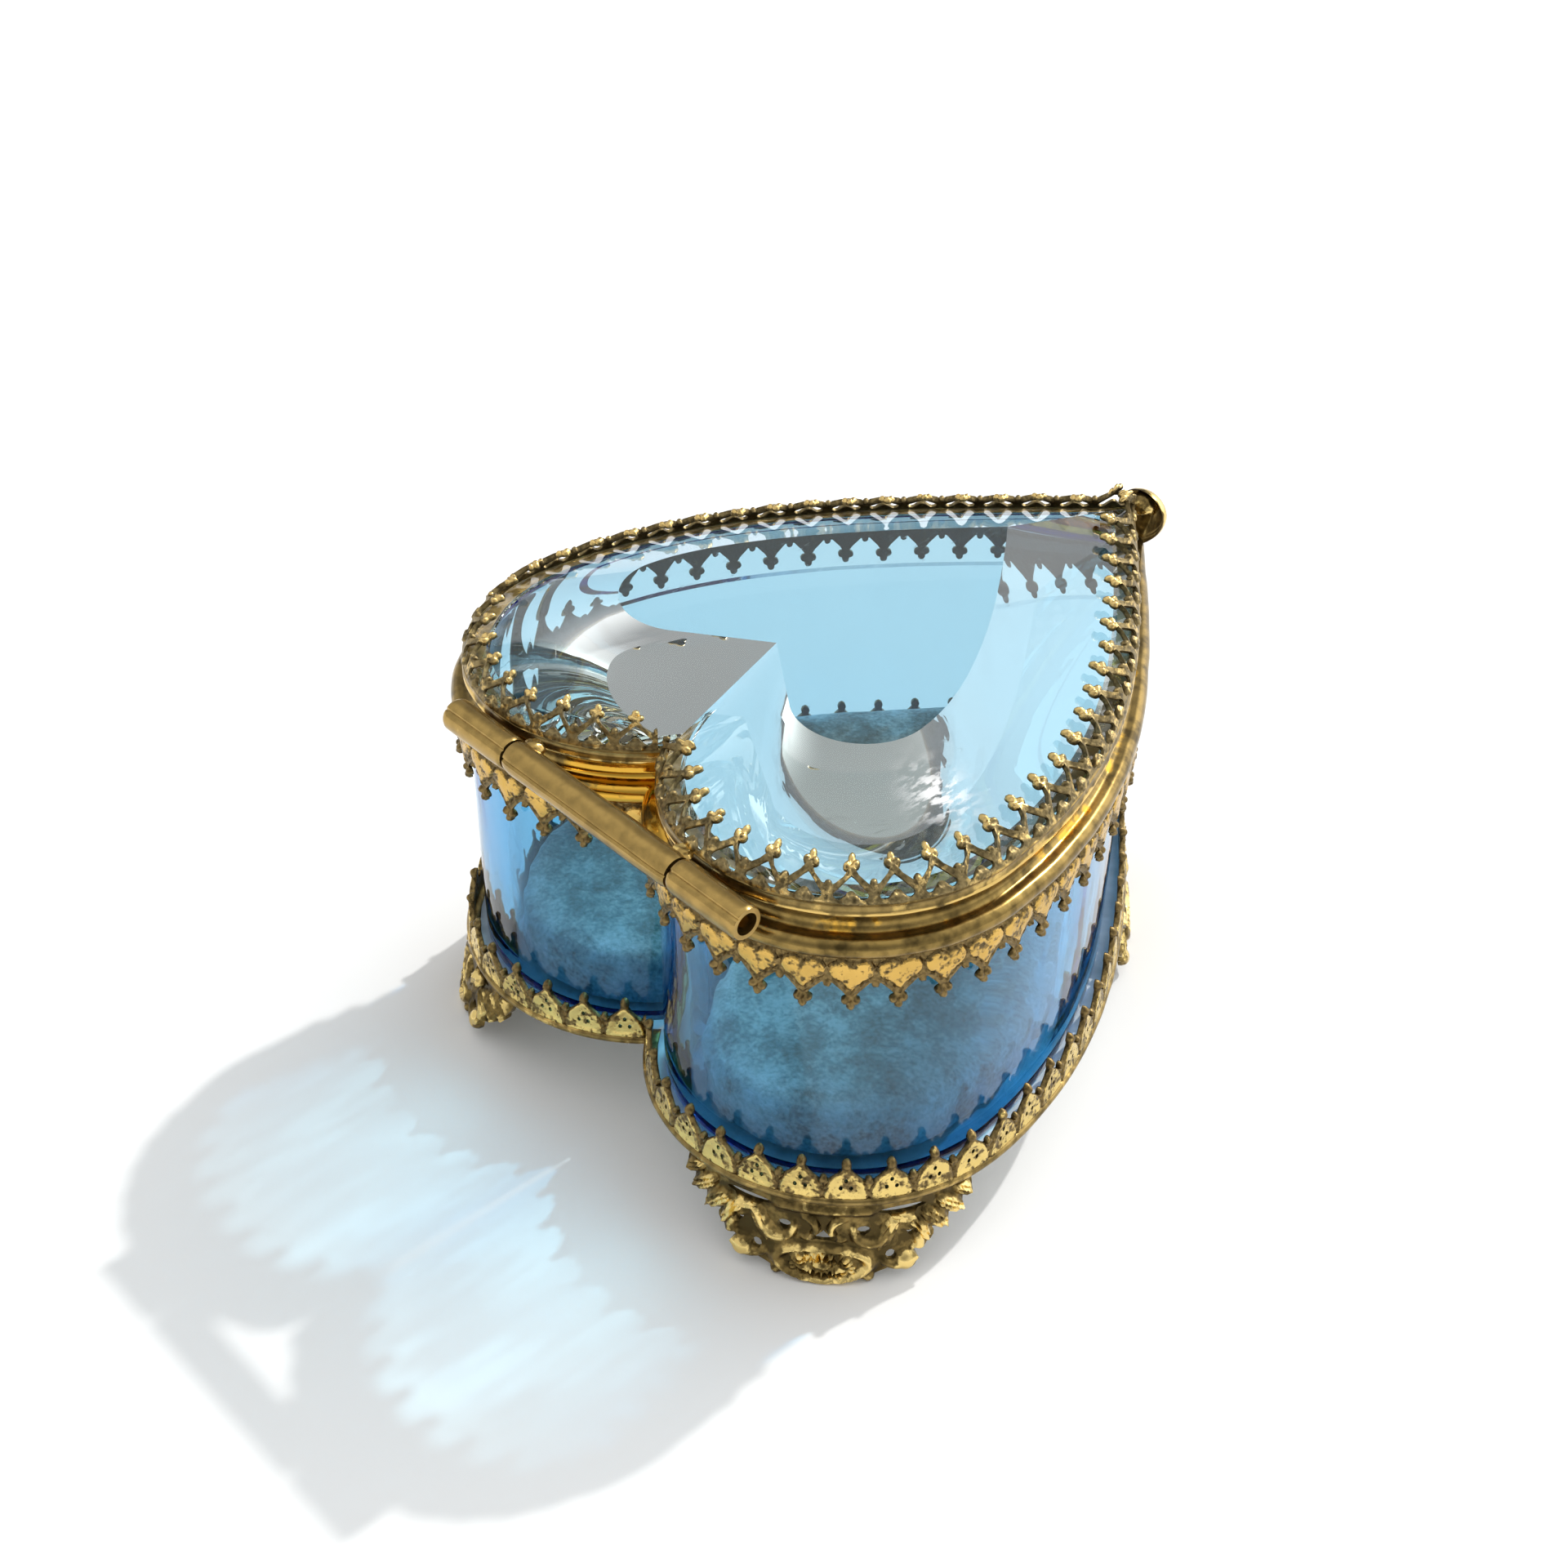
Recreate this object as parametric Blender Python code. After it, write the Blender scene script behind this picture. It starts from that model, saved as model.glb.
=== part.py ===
"""Heart-shaped trinket box on four feet.

A gilt-brass frame holds two bent blue-glass walls on a brass base plate with a fabric pad.
The bevelled clear-glass lid sits in its own brass rim and turns on a tube hinge at the lobes.
Frame: origin at the middle of the footprint on the ground, +Z up, the heart's tip towards -Y,
its two lobes and the hinge towards +Y. Left is -X, right is +X.
"""
import math

import bmesh
import bpy

MM = 0.001
GAP = 0.3

# Plan outline of the base, in mm. Each lobe is a circle, each side a cubic curve to a rounded tip.
LOBE_X = 12.66
LOBE_RADIUS = 17.34
LOBE_END = math.radians(-4.9)
TIP_REACH = 52.77
TIP_HALF_ANGLE = math.radians(42.45)
TIP_RADIUS = 2.5
SIDE_TENSION = 0.36
LOBE_STEPS = 20
SIDE_STEPS = 11
TIP_STEPS = 3
TIP_ZONE = 2.4
CUT = GAP / 2

# Heights above the ground, in mm.
BASE_Z = 8.0
BASE_BAND = 1.0
PLATE_TOP = 8.8
PAD_TOP = 15.2
GLASS_TOP = 34.5
BEAD_Z = 34.65
BODY_TOP = 36.8
LID_BOTTOM = BODY_TOP + GAP
LID_RIM_TOP = 38.5
LID_GLASS_BOTTOM = 36.6
LID_GLASS_REBATE = 37.8
LID_GLASS_EDGE = 38.6
LID_TOP = 43.3

# Distances inwards from the base outline, in mm.
BASE_RIM_DEPTH = 1.0
GLASS_OUTER = 1.9
GLASS_THICK = 2.5
PAD_INSET = GLASS_OUTER + GLASS_THICK + 0.35
BEAD_INSET = 1.45
BEAD_RADIUS = 0.85
LID_INSET = 1.7
LID_WALL = 0.45
LID_FLANGE = 4.2
LID_GLASS_INSET = LID_INSET + LID_WALL + GAP

# Pierced gallery strips.
GALLERY_COUNT = 27
GALLERY_THICK = 0.35
VALLEY = 0.45

# Hinge: the axis runs along X behind the lobes, and its tubes sit a little left of the middle.
AXIS_Y = 17.4
AXIS_Z = 37.6
HINGE_X = -1.7
TUBE_RADIUS = 1.45
BORE_RADIUS = 0.9
PIN_RADIUS = 0.6
TUBE_HALF = 17.8
LID_TUBE_HALF = 9.9
PIN_HALF = 16.1
ROUND_STEPS = 20

# Lift tab: a dished leaf standing out from the lid rim's tip.
TAB_FRONT = 52.8
TAB_TOP = 39.6
TAB_BOTTOM = 33.9
TAB_HALF_WIDTH = 2.6
TAB_THICK = 0.5
TAB_EDGE_Y = 50.9
TAB_FLAT = 0.25

# Feet: pressed strips that follow the outline under the base rim.
FOOT_HALF = 13.4
FOOT_THICK = 0.7
FOOT_TOP = BASE_Z - GAP
FOOT_FLARE = 1.1
FOOT_FLARE_POWER = 1.5
FOOT_TOE = 4.5
FOOT_WING_Z = 6.2
FOOT_WING_POWER = 0.8
BACK_FOOT_ANGLE = math.radians(49)
FRONT_FOOT_FROM_TIP = 16.0

# The lobes' centre line lies this far behind the middle of the footprint.
LOBE_Y = (TAB_FRONT - AXIS_Y - TUBE_RADIUS) / 2

BRASS = ("gilt_brass", (0.60, 0.44, 0.17), 0.35, 1.0)
DULL_BRASS = ("dull_brass", (0.42, 0.34, 0.20), 0.45, 1.0)
BLUE_GLASS = ("blue_glass", (0.16, 0.52, 0.86), 0.05, 0.0)
CLEAR_GLASS = ("clear_glass", (0.80, 0.90, 0.94), 0.03, 0.0)
PAD_FABRIC = ("pad_fabric", (0.30, 0.33, 0.31), 0.95, 0.0)


def clear_scene():
    for item in list(bpy.data.objects):
        bpy.data.objects.remove(item, do_unlink=True)


def get_material(spec):
    name, colour, roughness, metallic = spec
    material = bpy.data.materials.get(name)
    if material is None:
        material = bpy.data.materials.new(name)
        material.use_nodes = True
        shader = material.node_tree.nodes["Principled BSDF"]
        shader.inputs["Base Color"].default_value = (*colour, 1.0)
        shader.inputs["Roughness"].default_value = roughness
        shader.inputs["Metallic"].default_value = metallic
    return material


def add_object(name, bm, spec, pivot=None, smooth_angle=35):
    """Turn a bmesh in mm, with y from the lobes' centre line, into a placed object in metres."""
    shift = pivot.location if pivot else (0.0, 0.0, 0.0)
    for vertex in bm.verts:
        x, y, z = vertex.co
        vertex.co = (x * MM - shift[0], (y + LOBE_Y) * MM - shift[1], z * MM - shift[2])
    bmesh.ops.recalc_face_normals(bm, faces=bm.faces)
    mesh = bpy.data.meshes.new(name)
    bm.to_mesh(mesh)
    bm.free()
    mesh.shade_smooth()
    mesh.set_sharp_from_angle(angle=math.radians(smooth_angle))
    mesh.materials.append(get_material(spec))
    item = bpy.data.objects.new(name, mesh)
    bpy.context.collection.objects.link(item)
    item.parent = pivot
    return item


# ---- Plan outline ----

def side_point(t):
    """Point and outward normal on the right side curve, from the lobe (t=0) to the tip arc (t=1)."""
    ax = LOBE_X + LOBE_RADIUS * math.cos(LOBE_END)
    ay = LOBE_RADIUS * math.sin(LOBE_END)
    centre_y = -(TIP_REACH - TIP_RADIUS / math.sin(TIP_HALF_ANGLE))
    dx = TIP_RADIUS * math.cos(TIP_HALF_ANGLE)
    dy = centre_y - TIP_RADIUS * math.sin(TIP_HALF_ANGLE)
    pull = SIDE_TENSION * math.hypot(dx - ax, dy - ay)
    bx = ax + pull * math.sin(LOBE_END)
    by = ay - pull * math.cos(LOBE_END)
    cx = dx + pull * math.sin(TIP_HALF_ANGLE)
    cy = dy + pull * math.cos(TIP_HALF_ANGLE)
    u = 1 - t
    x = u**3 * ax + 3 * u * u * t * bx + 3 * u * t * t * cx + t**3 * dx
    y = u**3 * ay + 3 * u * u * t * by + 3 * u * t * t * cy + t**3 * dy
    tx = u * u * (bx - ax) + 2 * u * t * (cx - bx) + t * t * (dx - cx)
    ty = u * u * (by - ay) + 2 * u * t * (cy - by) + t * t * (dy - cy)
    length = math.hypot(tx, ty)
    return x, y, -ty / length, tx / length


def lobe_path(offset, cut, steps):
    """Points and normals round the right lobe, from the notch to the side curve."""
    radius = LOBE_RADIUS + offset
    start = math.pi - math.acos(min(1.0, (LOBE_X - cut) / radius))
    path = []
    for i in range(steps + 1):
        angle = start + (LOBE_END - start) * i / steps
        nx = math.cos(angle)
        ny = math.sin(angle)
        path.append((LOBE_X + radius * nx, radius * ny, nx, ny))
    return path


def side_path(offset, cut):
    """Fine points and normals down the right side and round the tip, ending at x = cut."""
    fine = 160
    path = []
    for i in range(fine + 1):
        x, y, nx, ny = side_point(i / fine)
        path.append((x + nx * offset, y + ny * offset, nx, ny))
    radius = TIP_RADIUS + offset
    if radius > 0:
        centre_y = -(TIP_REACH - TIP_RADIUS / math.sin(TIP_HALF_ANGLE))
        turn = 24
        for i in range(1, turn + 1):
            angle = -TIP_HALF_ANGLE - (math.pi / 2 - TIP_HALF_ANGLE) * i / turn
            nx = math.cos(angle)
            ny = math.sin(angle)
            path.append((radius * nx, centre_y + radius * ny, nx, ny))
    return trim_at_x(path, cut)


def trim_at_x(path, cut):
    for i in range(1, len(path)):
        if path[i][0] <= cut:
            before = path[i - 1]
            after = path[i]
            f = (before[0] - cut) / (before[0] - after[0])
            last = tuple(a + (b - a) * f for a, b in zip(before, after))
            return path[:i] + [last]
    return path


def path_lengths(path):
    lengths = [0.0]
    for a, b in zip(path, path[1:]):
        lengths.append(lengths[-1] + math.hypot(b[0] - a[0], b[1] - a[1]))
    return lengths


def path_at(path, lengths, s):
    """Point and normal at distance s along a path."""
    s = min(max(s, 0.0), lengths[-1])
    for i in range(1, len(path)):
        if lengths[i] >= s:
            span = lengths[i] - lengths[i - 1]
            f = (s - lengths[i - 1]) / span if span > 0 else 0.0
            return tuple(a + (b - a) * f for a, b in zip(path[i - 1], path[i]))
    return path[-1]


def half_outline(offset, cut):
    """Outline points of the right half from notch to tip, the same number for every offset."""
    lobe = lobe_path(offset, cut, LOBE_STEPS)
    side = side_path(offset, cut)
    lengths = path_lengths(side)
    straight = lengths[-1] - TIP_ZONE
    stations = [straight * i / SIDE_STEPS for i in range(1, SIDE_STEPS + 1)]
    stations += [straight + TIP_ZONE * i / TIP_STEPS for i in range(1, TIP_STEPS + 1)]
    points = [(x, y) for x, y, _, _ in lobe]
    for s in stations:
        x, y, _, _ = path_at(side, lengths, s)
        points.append((x, y))
    return points


def mirror_closed(half):
    """Close a right half whose tip is on the centre line with its mirror image."""
    first = 1 if half[0][0] < 1e-6 else 0
    left = [(-x, y) for x, y in reversed(half[first:-1])]
    return half + left


def full_outline(offset):
    half = half_outline(offset, 0.0)
    half[-1] = (0.0, half[-1][1])
    if LOBE_RADIUS + offset > LOBE_X:
        half[0] = (0.0, half[0][1])
    return mirror_closed(half)


def lid_flat_outline():
    """Raised flat of the lid glass: a smaller heart with a sharp cusp."""
    cusp_y = -3.4
    centre_x = 10.5
    centre_y = -2.9
    radius = 5.8
    arc_start = math.radians(128)
    arc_end = math.radians(-12)
    tip_y = -31.0
    arc_steps = 12
    lead_steps = LOBE_STEPS - arc_steps
    sx = centre_x + radius * math.cos(arc_start)
    sy = centre_y + radius * math.sin(arc_start)
    half = [(sx * i / lead_steps, cusp_y + (sy - cusp_y) * i / lead_steps) for i in range(lead_steps)]
    for i in range(arc_steps + 1):
        angle = arc_start + (arc_end - arc_start) * i / arc_steps
        half.append((centre_x + radius * math.cos(angle), centre_y + radius * math.sin(angle)))
    ex, ey = half[-1]
    bend_x = ex - 1.2
    bend_y = ey - 9.0
    steps = SIDE_STEPS + TIP_STEPS
    for i in range(1, steps + 1):
        t = i / steps
        u = 1 - t
        half.append((u * u * ex + 2 * u * t * bend_x, u * u * ey + 2 * u * t * bend_y + t * t * tip_y))
    return mirror_closed(half)


# ---- Mesh builders ----

def add_loop(bm, points, z):
    return [bm.verts.new((x, y, z)) for x, y in points]


def join_loops(bm, a, b, closed=True):
    count = len(a) if closed else len(a) - 1
    for i in range(count):
        j = (i + 1) % len(a)
        bm.faces.new((a[i], a[j], b[j], b[i]))


def ring_solid(name, section, spec, pivot=None):
    """Sweep a closed cross-section of (offset, z) points all round the heart."""
    bm = bmesh.new()
    loops = [add_loop(bm, full_outline(offset), z) for offset, z in section]
    for a, b in zip(loops, loops[1:] + loops[:1]):
        join_loops(bm, a, b)
    return add_object(name, bm, spec, pivot)


def slab_solid(name, layers, spec, pivot=None, smooth_angle=35):
    """Stack closed outlines of (points, z) with a flat bottom and a flat top."""
    bm = bmesh.new()
    loops = [add_loop(bm, points, z) for points, z in layers]
    for a, b in zip(loops, loops[1:]):
        join_loops(bm, a, b)
    caps = [bm.faces.new(loops[0]), bm.faces.new(loops[-1])]
    bmesh.ops.triangulate(bm, faces=caps)
    return add_object(name, bm, spec, pivot, smooth_angle)


def half_wall(name, side, section, spec):
    """Sweep a closed cross-section round one half of the heart, with plain ends."""
    bm = bmesh.new()
    loops = []
    for offset, z in section:
        points = [(side * x, y) for x, y in half_outline(offset, CUT)]
        loops.append(add_loop(bm, points, z))
    for a, b in zip(loops, loops[1:] + loops[:1]):
        join_loops(bm, a, b, closed=False)
    bm.faces.new([loop[0] for loop in loops])
    bm.faces.new([loop[-1] for loop in loops])
    return add_object(name, bm, spec)


def strip_solid(name, side, path, columns, place, thickness, rows, spec, pivot=None):
    """Strip of columns (s, low, high) along a path; place(h) gives its face's (outward offset, z).

    thickness is the shift (outward offset, z) from that face to the strip's hidden face.
    """
    bm = bmesh.new()
    lengths = path_lengths(path)
    loops = []
    for s, low, high in columns:
        x, y, nx, ny = path_at(path, lengths, s)
        heights = [low + (high - low) * r / rows for r in range(rows + 1)]
        face = [place(h) for h in heights]
        hidden = [(offset + thickness[0], z + thickness[1]) for offset, z in reversed(face)]
        loop = []
        for offset, z in face + hidden:
            loop.append(bm.verts.new((side * (x + nx * offset), y + ny * offset, z)))
        loops.append(loop)
    for a, b in zip(loops, loops[1:]):
        join_loops(bm, a, b)
    bm.faces.new(loops[0])
    bm.faces.new(loops[-1])
    return add_object(name, bm, spec, pivot)


def half_path(offset):
    return lobe_path(offset, CUT, 80) + side_path(offset, CUT)[1:]


def gallery_columns(length, height, reach):
    """Band with one blunt pointed tooth per unit; reach(s) is the tallest that fits there."""
    pitch = length / GALLERY_COUNT
    shape = [(0.0, VALLEY), (0.38, 1.0), (0.62, 1.0)]
    columns = []
    for unit in range(GALLERY_COUNT):
        for place_in_unit, rise in shape:
            s = (unit + place_in_unit) * pitch
            columns.append((s, 0.0, min(height * rise, reach(s))))
    columns.append((length, 0.0, min(height * VALLEY, reach(length))))
    return columns


def arc_section(centre, radius, start, end, steps):
    points = []
    for i in range(steps + 1):
        angle = math.radians(start + (end - start) * i / steps)
        points.append((centre[0] + radius * math.cos(angle), centre[1] + radius * math.sin(angle)))
    return points


# ---- Base ----

def build_base():
    edge = 0.45
    top = BASE_Z + BASE_BAND
    section = arc_section((-edge, BASE_Z + edge), edge, -90, 0, 3)
    section += arc_section((-edge, top - edge), edge, 0, 90, 3)
    section += [(-BASE_RIM_DEPTH, top), (-BASE_RIM_DEPTH, BASE_Z)]
    ring_solid("base_rim", section, DULL_BRASS)

    plate = full_outline(-BASE_RIM_DEPTH - GAP)
    slab_solid("base_plate", [(plate, BASE_Z), (plate, PLATE_TOP)], BRASS)

    soft = 0.9
    pad_layers = [
        (full_outline(-PAD_INSET), PLATE_TOP + GAP),
        (full_outline(-PAD_INSET), PAD_TOP - soft),
        (full_outline(-PAD_INSET - 0.3 * soft), PAD_TOP - 0.3 * soft),
        (full_outline(-PAD_INSET - soft), PAD_TOP),
    ]
    slab_solid("base_pad", pad_layers, PAD_FABRIC)


def build_base_gallery(side, name):
    bottom = BASE_Z + BASE_BAND + GAP
    height = 3.6
    lean = 0.3
    path = half_path(-0.3)
    length = path_lengths(path)[-1]

    def place(h):
        return -lean * h / height, bottom + h

    columns = gallery_columns(length, height, lambda s: height)
    strip_solid(name, side, path, columns, place, (-GALLERY_THICK, 0.0), 1, BRASS)


# ---- Glass walls and top rim of the body ----

def build_glass_side(side, name):
    inner = GLASS_OUTER + GLASS_THICK
    bottom = PLATE_TOP + GAP
    section = [(-GLASS_OUTER, bottom), (-GLASS_OUTER, GLASS_TOP), (-inner, GLASS_TOP), (-inner, bottom)]
    half_wall(name, side, section, BLUE_GLASS)


def build_body_top():
    crown_outer = 2.4
    crown_inner = 2.9
    flange_inner = 4.0
    flange_bottom = GLASS_TOP + GAP
    flange_top = flange_bottom + 0.55
    section = arc_section((-BEAD_INSET, BEAD_Z), BEAD_RADIUS, -90, 90, 6)
    section += [(-1.75, 35.8), (-2.05, 36.2), (-crown_outer, BODY_TOP), (-crown_inner, BODY_TOP)]
    section += [(-crown_inner, flange_top), (-flange_inner, flange_top)]
    section += [(-flange_inner, flange_bottom), (-BEAD_INSET - GAP, flange_bottom)]
    ring_solid("body_top_rim", section, DULL_BRASS)


def build_body_gallery(side, name):
    top = BEAD_Z - BEAD_RADIUS - GAP
    height = 4.7
    path = half_path(-1.1)
    length = path_lengths(path)[-1]
    columns = gallery_columns(length, height, lambda s: height)
    thickness = (-GALLERY_THICK, 0.0)
    strip_solid(name, side, path, columns, lambda h: (0.0, top - h), thickness, 1, BRASS)


# ---- Feet ----

def build_foot(side, name, centre_s):
    """Pressed foot: a flat toe in the middle, wings that rise to the base rim."""
    path = half_path(0.0)
    tucked = 0.2
    stations = [-1.0, -0.84, -0.67, -0.5, -FOOT_TOE / FOOT_HALF, -0.17, 0.0]
    stations += [-f for f in reversed(stations[:-1])]
    columns = []
    for f in stations:
        beyond = max(0.0, abs(f) * FOOT_HALF - FOOT_TOE) / (FOOT_HALF - FOOT_TOE)
        columns.append((centre_s + f * FOOT_HALF, FOOT_WING_Z * beyond**FOOT_WING_POWER, FOOT_TOP))

    def place(z):
        return FOOT_FLARE * (1 - z / FOOT_TOP) ** FOOT_FLARE_POWER - tucked, z

    strip_solid(name, side, path, columns, place, (-FOOT_THICK, 0.0), 3, BRASS)


def build_feet():
    path = half_path(0.0)
    lengths = path_lengths(path)
    start = math.pi - math.acos((LOBE_X - CUT) / LOBE_RADIUS)
    back_s = LOBE_RADIUS * (start - BACK_FOOT_ANGLE)
    front_s = lengths[-1] - FRONT_FOOT_FROM_TIP
    for side, word in ((-1, "left"), (1, "right")):
        build_foot(side, "foot_back_" + word, back_s)
        build_foot(side, "foot_front_" + word, front_s)


# ---- Hinge ----

def tube_mesh(x0, x1, outer, inner, steps=ROUND_STEPS):
    bm = bmesh.new()
    loops = []
    for x, radius in ((x0, outer), (x1, outer), (x1, inner), (x0, inner)):
        loop = []
        for i in range(steps):
            angle = 2 * math.pi * i / steps
            y = AXIS_Y + radius * math.cos(angle)
            z = AXIS_Z + radius * math.sin(angle)
            loop.append(bm.verts.new((x, y, z)))
        loops.append(loop)
    for a, b in zip(loops, loops[1:] + loops[:1]):
        join_loops(bm, a, b)
    return bm


def box_mesh(low, high):
    bm = bmesh.new()
    bmesh.ops.create_cube(bm, size=1.0)
    for vertex in bm.verts:
        vertex.co = [a + (b - a) * (c + 0.5) for a, b, c in zip(low, high, vertex.co)]
    return bm


def weld_box(item, name, low, high, spec, pivot):
    """Join a solder lug to a knuckle."""
    lug = add_object(name, box_mesh(low, high), spec, pivot)
    lug.hide_render = True
    lug.display_type = "WIRE"
    union = item.modifiers.new(name, "BOOLEAN")
    union.operation = "UNION"
    union.solver = "EXACT"
    union.object = lug


def build_hinge(pivot):
    lug_inset = 0.1
    lug_length = 1.95
    lid_lug_y = (AXIS_Y - 1.55, AXIS_Y - 0.95)
    lid_lug_z = (AXIS_Z + 0.25, AXIS_Z + 0.9)
    body_lug_y = (AXIS_Y - 0.85, AXIS_Y - 0.15)
    body_lug_z = (AXIS_Z - 2.0, AXIS_Z - 1.1)
    body_lug_inset = 0.5

    lid_tube = tube_mesh(HINGE_X - LID_TUBE_HALF, HINGE_X + LID_TUBE_HALF, TUBE_RADIUS, BORE_RADIUS)
    knuckle = add_object("hinge_knuckle_lid", lid_tube, DULL_BRASS, pivot)
    for side in (-1, 1):
        end = LID_TUBE_HALF - lug_inset
        xs = sorted((HINGE_X + side * (end - lug_length), HINGE_X + side * end))
        low = (xs[0], lid_lug_y[0], lid_lug_z[0])
        high = (xs[1], lid_lug_y[1], lid_lug_z[1])
        weld_box(knuckle, "lid_lug", low, high, DULL_BRASS, pivot)
    for side, word in ((-1, "left"), (1, "right")):
        xs = sorted((HINGE_X + side * (LID_TUBE_HALF + GAP), HINGE_X + side * TUBE_HALF))
        body_tube = tube_mesh(xs[0], xs[1], TUBE_RADIUS, BORE_RADIUS)
        knuckle = add_object("hinge_knuckle_body_" + word, body_tube, DULL_BRASS)
        low = (xs[0] + body_lug_inset, body_lug_y[0], body_lug_z[0])
        high = (xs[1] - body_lug_inset, body_lug_y[1], body_lug_z[1])
        weld_box(knuckle, "body_lug", low, high, DULL_BRASS, None)

    pin = bmesh.new()
    pin_steps = 12
    ends = []
    for x in (HINGE_X - PIN_HALF, HINGE_X + PIN_HALF):
        loop = []
        for i in range(pin_steps):
            angle = 2 * math.pi * i / pin_steps
            y = AXIS_Y + PIN_RADIUS * math.cos(angle)
            z = AXIS_Z + PIN_RADIUS * math.sin(angle)
            loop.append(pin.verts.new((x, y, z)))
        ends.append(loop)
        pin.faces.new(loop)
    join_loops(pin, ends[0], ends[1])
    add_object("hinge_pin", pin, DULL_BRASS)


# ---- Lid ----

def build_lid_rim(pivot):
    wall_inner = LID_INSET + LID_WALL
    flange_top = LID_BOTTOM + 0.4
    soft = 0.2
    section = [
        (-LID_INSET - soft, LID_BOTTOM),
        (-LID_INSET, LID_BOTTOM + soft),
        (-LID_INSET, LID_RIM_TOP - soft),
        (-LID_INSET - soft, LID_RIM_TOP),
        (-wall_inner, LID_RIM_TOP),
        (-wall_inner, flange_top),
        (-LID_FLANGE, flange_top),
        (-LID_FLANGE, LID_BOTTOM),
    ]
    ring_solid("lid_rim", section, DULL_BRASS, pivot)


def build_lid_glass(pivot):
    """A slab with a wide bevel above; its underside is rebated to drop through the rim's ledge."""
    edge = full_outline(-LID_GLASS_INSET)
    under = full_outline(-LID_FLANGE - GAP)
    layers = [(under, LID_GLASS_BOTTOM), (under, LID_GLASS_REBATE), (edge, LID_GLASS_REBATE)]
    layers += [(edge, LID_GLASS_EDGE), (lid_flat_outline(), LID_TOP)]
    slab_solid("lid_glass", layers, CLEAR_GLASS, pivot, smooth_angle=8)


def build_lid_gallery(side, name, pivot):
    """Teeth rise from the rim and fold inwards over the bevel."""
    offset = -LID_INSET - 0.05
    length_in = 3.5
    rise = 2.2
    height = math.hypot(length_in, rise)
    path = half_path(offset)
    lengths = path_lengths(path)

    def place(h):
        f = h / height
        return -length_in * (0.45 * f + 0.55 * f * f), LID_RIM_TOP + GAP + rise * (1.5 * f - 0.5 * f * f)

    def reach(s):
        x, _, nx, _ = path_at(path, lengths, s)
        room = (x - CUT) / max(nx, 0.05) - 0.5 if s > lengths[-1] / 2 else height
        return min(height, max(0.3 * height, room))

    columns = gallery_columns(lengths[-1], height, reach)
    tip_margin = 0.9
    columns = [column for column in columns if column[0] < lengths[-1] - tip_margin]
    thickness = (-0.6 * GALLERY_THICK, -0.8 * GALLERY_THICK)
    strip_solid(name, side, path, columns, place, thickness, 2, BRASS, pivot)


def tab_loop(bm, f, push):
    """Outline of the leaf shrunk by f, on the dished face, pushed outwards by push."""
    spokes = 18
    middle_z = TAB_BOTTOM + 0.6 * (TAB_TOP - TAB_BOTTOM)
    dish = TAB_FRONT - TAB_THICK - TAB_EDGE_Y
    depth = (1 - f * f) / (1 - TAB_FLAT * TAB_FLAT)
    y = -TAB_EDGE_Y - dish * depth - push
    loop = []
    for i in range(spokes):
        angle = 2 * math.pi * i / spokes
        up = math.sin(angle)
        x = TAB_HALF_WIDTH * math.cos(angle)
        z = (TAB_TOP - middle_z) * up
        if up < 0:
            x *= 1 - 0.45 * up * up
            z = (middle_z - TAB_BOTTOM) * up
        loop.append(bm.verts.new((x * f, y, middle_z + z * f)))
    return loop


def build_lift_tab(pivot):
    """Leaf with a round top and a pointed foot, hollow towards the lid, held by a short stem."""
    bm = bmesh.new()
    shrinks = (TAB_FLAT, 0.6, 1.0)
    loops = [tab_loop(bm, f, 0.0) for f in shrinks]
    loops += [tab_loop(bm, f, TAB_THICK) for f in reversed(shrinks)]
    for a, b in zip(loops, loops[1:]):
        join_loops(bm, a, b)
    bm.faces.new(loops[0])
    bm.faces.new(loops[-1])
    tab = add_object("lift_tab", bm, BRASS, pivot)
    rim_tip = TIP_REACH - TIP_RADIUS / math.sin(TIP_HALF_ANGLE) + TIP_RADIUS - LID_INSET
    half_width = 0.7
    low = (-half_width, -TAB_FRONT + 0.3, 37.5)
    high = (half_width, -rim_tip - GAP, 38.4)
    weld_box(tab, "tab_stem", low, high, BRASS, pivot)


def main():
    clear_scene()
    pivot = bpy.data.objects.new("lid_pivot", None)
    bpy.context.collection.objects.link(pivot)
    pivot.location = (0.0, (AXIS_Y + LOBE_Y) * MM, AXIS_Z * MM)

    build_base()
    build_body_top()
    for side, word in ((-1, "left"), (1, "right")):
        build_base_gallery(side, "base_gallery_" + word)
        build_glass_side(side, "glass_side_" + word)
        build_body_gallery(side, "body_top_gallery_" + word)
        build_lid_gallery(side, "lid_gallery_" + word, pivot)
    build_feet()
    build_hinge(pivot)
    build_lid_rim(pivot)
    build_lid_glass(pivot)
    build_lift_tab(pivot)


main()
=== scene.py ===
"""Looks of the heart-shaped trinket box: fine stamped brass, blown glass and a velvet pad."""

import math

import bmesh
import bpy
import numpy as np
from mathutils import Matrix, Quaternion, Vector, noise
from mathutils.geometry import delaunay_2d_cdt


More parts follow.
